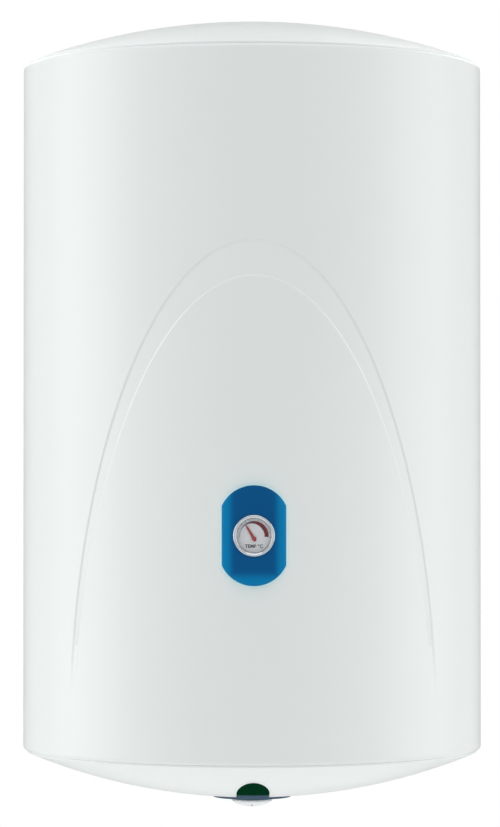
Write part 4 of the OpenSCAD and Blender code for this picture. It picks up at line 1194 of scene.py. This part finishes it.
def build_knob():
    radius = half_width("temperature_knob")
    base = 9.4                       # height of the knob's back over its face, under the hub
    flutes = 30

    def fluted(r, z, angle):
        near_edge = smoothstep((r - radius + 3.2) / 3.0)
        return r - 0.55 * near_edge * (0.5 + 0.5 * math.cos(flutes * angle)) ** 2

    brow = radius - 0.9
    face = [(brow * k / 24, knob_face(brow * k / 24), 0) for k in range(24)]
    face += [(brow, knob_face(brow), 0), (radius, knob_face(brow) + 0.9, 0.8), (radius, 7.5, 0.6),
             (radius - 1.2, 7.6, 0.3), (6.0, 7.6, 0.4), (6.0, base, 0.4), (0, base, 0)]
    place = upright(KNOB_MID.x, KNOB_MID.y, KNOB_LOW_Z)
    bm = turned_shape(rounded(face, 8, False), place, flutes * 12, fluted, False)
    piece("knob_cap", bm, "knob_white", "temperature_knob", body="knob", sharp_deg=40)


# --- build ---------------------------------------------------------------------------------------

build_casing()
build_top_cover()
build_bottom_cover()
build_screw_wells()
build_collars()
build_nipples()
build_gland()
build_control_plate()
build_pilot_window()
build_badge()
build_gauge()
build_knob()
build_pointer()
build_bracket("wall_bracket_upper", "bracket_upper")
build_bracket("wall_bracket_lower", "bracket_lower")

# --- stage, light and camera ---------------------------------------------------------------------

FLOOR_Z = -0.78
FLOOR_R = 2.0
FILL = 0.7                 # strength of the even light from all round
FILL_SIDES = 0.03          # what the sides add to it
LIGHTS = [                 # name, azimuth, elevation, distance, size, power
    ("left_box", -89, 6, 3.0, (2.4, 2.8), 28),
    ("right_box", 89, 6, 3.0, (2.4, 2.8), 22),
    ("top_box", 0, 70, 2.6, (2.2, 2.2), 10),
    ("low_box", 0, -90, 0.7, (1.5, 1.5), 0.8),
    ("back_box_left", -150, 35, 3.0, (1.6, 2.0), 13),
    ("back_box_right", 150, 35, 3.0, (1.6, 2.0), 13),
]


def build_floor():
    """A pale disc that fades out towards its edge and can't be seen from below."""
    bm = bmesh.new()
    bmesh.ops.create_circle(bm, cap_ends=True, segments=96, radius=FLOOR_R)
    mesh = bpy.data.meshes.new("floor")
    bm.to_mesh(mesh)
    bm.free()
    obj = placed("floor", mesh)
    obj.location = (0, AXIS_Y * MM, FLOOR_Z)
    m = Maker("floor_pale", (0.86, 0.86, 0.86), 0.8)
    far = m.node("ShaderNodeVectorMath", {0: m.coords.outputs["Object"]}, operation="LENGTH")
    fade = mapped(m.tree, far.outputs["Value"], 0.6, FLOOR_R * 0.97)
    under = m.node("ShaderNodeNewGeometry").outputs["Backfacing"]
    through = m.node("ShaderNodeBsdfTransparent").outputs["BSDF"]
    gone = computed(m.tree, "MAXIMUM", fade, under)
    mix = m.node("ShaderNodeMixShader", {0: gone, 1: m.shader.outputs["BSDF"], 2: through})
    m.tree.links.new(mix.outputs["Shader"], m.tree.nodes["Material Output"].inputs["Surface"])
    obj.data.materials.append(m.material)


def area_light(name, azimuth, elevation, distance, size, power):
    """A soft box that looks at the heater. Azimuth 0 is the front, positive to the right."""
    light = bpy.data.lights.new(name, "AREA")
    light.shape = "RECTANGLE"
    light.size, light.size_y = size
    light.energy = power
    obj = placed(name, light)
    a, e = math.radians(azimuth), math.radians(elevation)
    target = Vector((0, AXIS_Y * MM, 0))
    away = Vector((math.sin(a) * math.cos(e), -math.cos(a) * math.cos(e), math.sin(e)))
    obj.location = target + away * distance
    obj.rotation_euler = away.to_track_quat("Z", "Y").to_euler()
    obj.visible_camera = False


def build_world():
    """White where the camera sees it. As a light it is a bit stronger from the sides, and darker behind."""
    world = bpy.data.worlds.new("studio")
    bpy.context.scene.world = world
    world.use_nodes = True
    tree = world.node_tree
    tree.nodes.clear()
    coords = added(tree, "ShaderNodeTexCoord")
    parts = added(tree, "ShaderNodeSeparateXYZ", {"Vector": coords.outputs["Generated"]}).outputs
    cloth = mapped(tree, parts["Y"], 0.8, 0.97, 1.0, 0.1)
    squared = computed(tree, "MULTIPLY", parts["X"], parts["X"])
    sides = computed(tree, "MULTIPLY_ADD", squared, FILL_SIDES, FILL)
    strength = computed(tree, "MULTIPLY", sides, cloth)
    fill = added(tree, "ShaderNodeBackground", {"Color": (0.985, 1.0, 1.0, 1), "Strength": strength})
    seen = added(tree, "ShaderNodeBackground", {"Color": (1, 1, 1, 1), "Strength": 1.0})
    direct = added(tree, "ShaderNodeLightPath").outputs["Is Camera Ray"]
    mixed = {0: direct, 1: fill.outputs["Background"], 2: seen.outputs["Background"]}
    mix = added(tree, "ShaderNodeMixShader", mixed)
    added(tree, "ShaderNodeOutputWorld", {"Surface": mix.outputs["Shader"]})


CAMERA_LENS = 158.67
CAMERA_TURN = math.radians(-0.43)      # the photographed heater is turned slightly about its axis
CAMERA_TILT = math.radians(90.887)
CAMERA_SIDE, CAMERA_BACK, CAMERA_UP = -1.97, 3595.9, 273.7     # from the axis, and over the casing's foot


def build_camera():
    camera = bpy.data.cameras.new("camera")
    camera.sensor_width = 36.0
    camera.lens = CAMERA_LENS
    obj = placed("camera", camera)
    seat = Matrix.Rotation(CAMERA_TURN, 4, "Z") @ Vector((CAMERA_SIDE, -CAMERA_BACK, 0))
    obj.location = (seat.x * MM, (AXIS_Y + seat.y) * MM, (CASE_Z0 + CAMERA_UP) * MM)
    obj.rotation_euler = (CAMERA_TILT, 0, CAMERA_TURN)
    bpy.context.scene.camera = obj


build_floor()
build_world()
for light_row in LIGHTS:
    area_light(*light_row)
build_camera()
bpy.context.scene.view_settings.view_transform = "Standard"
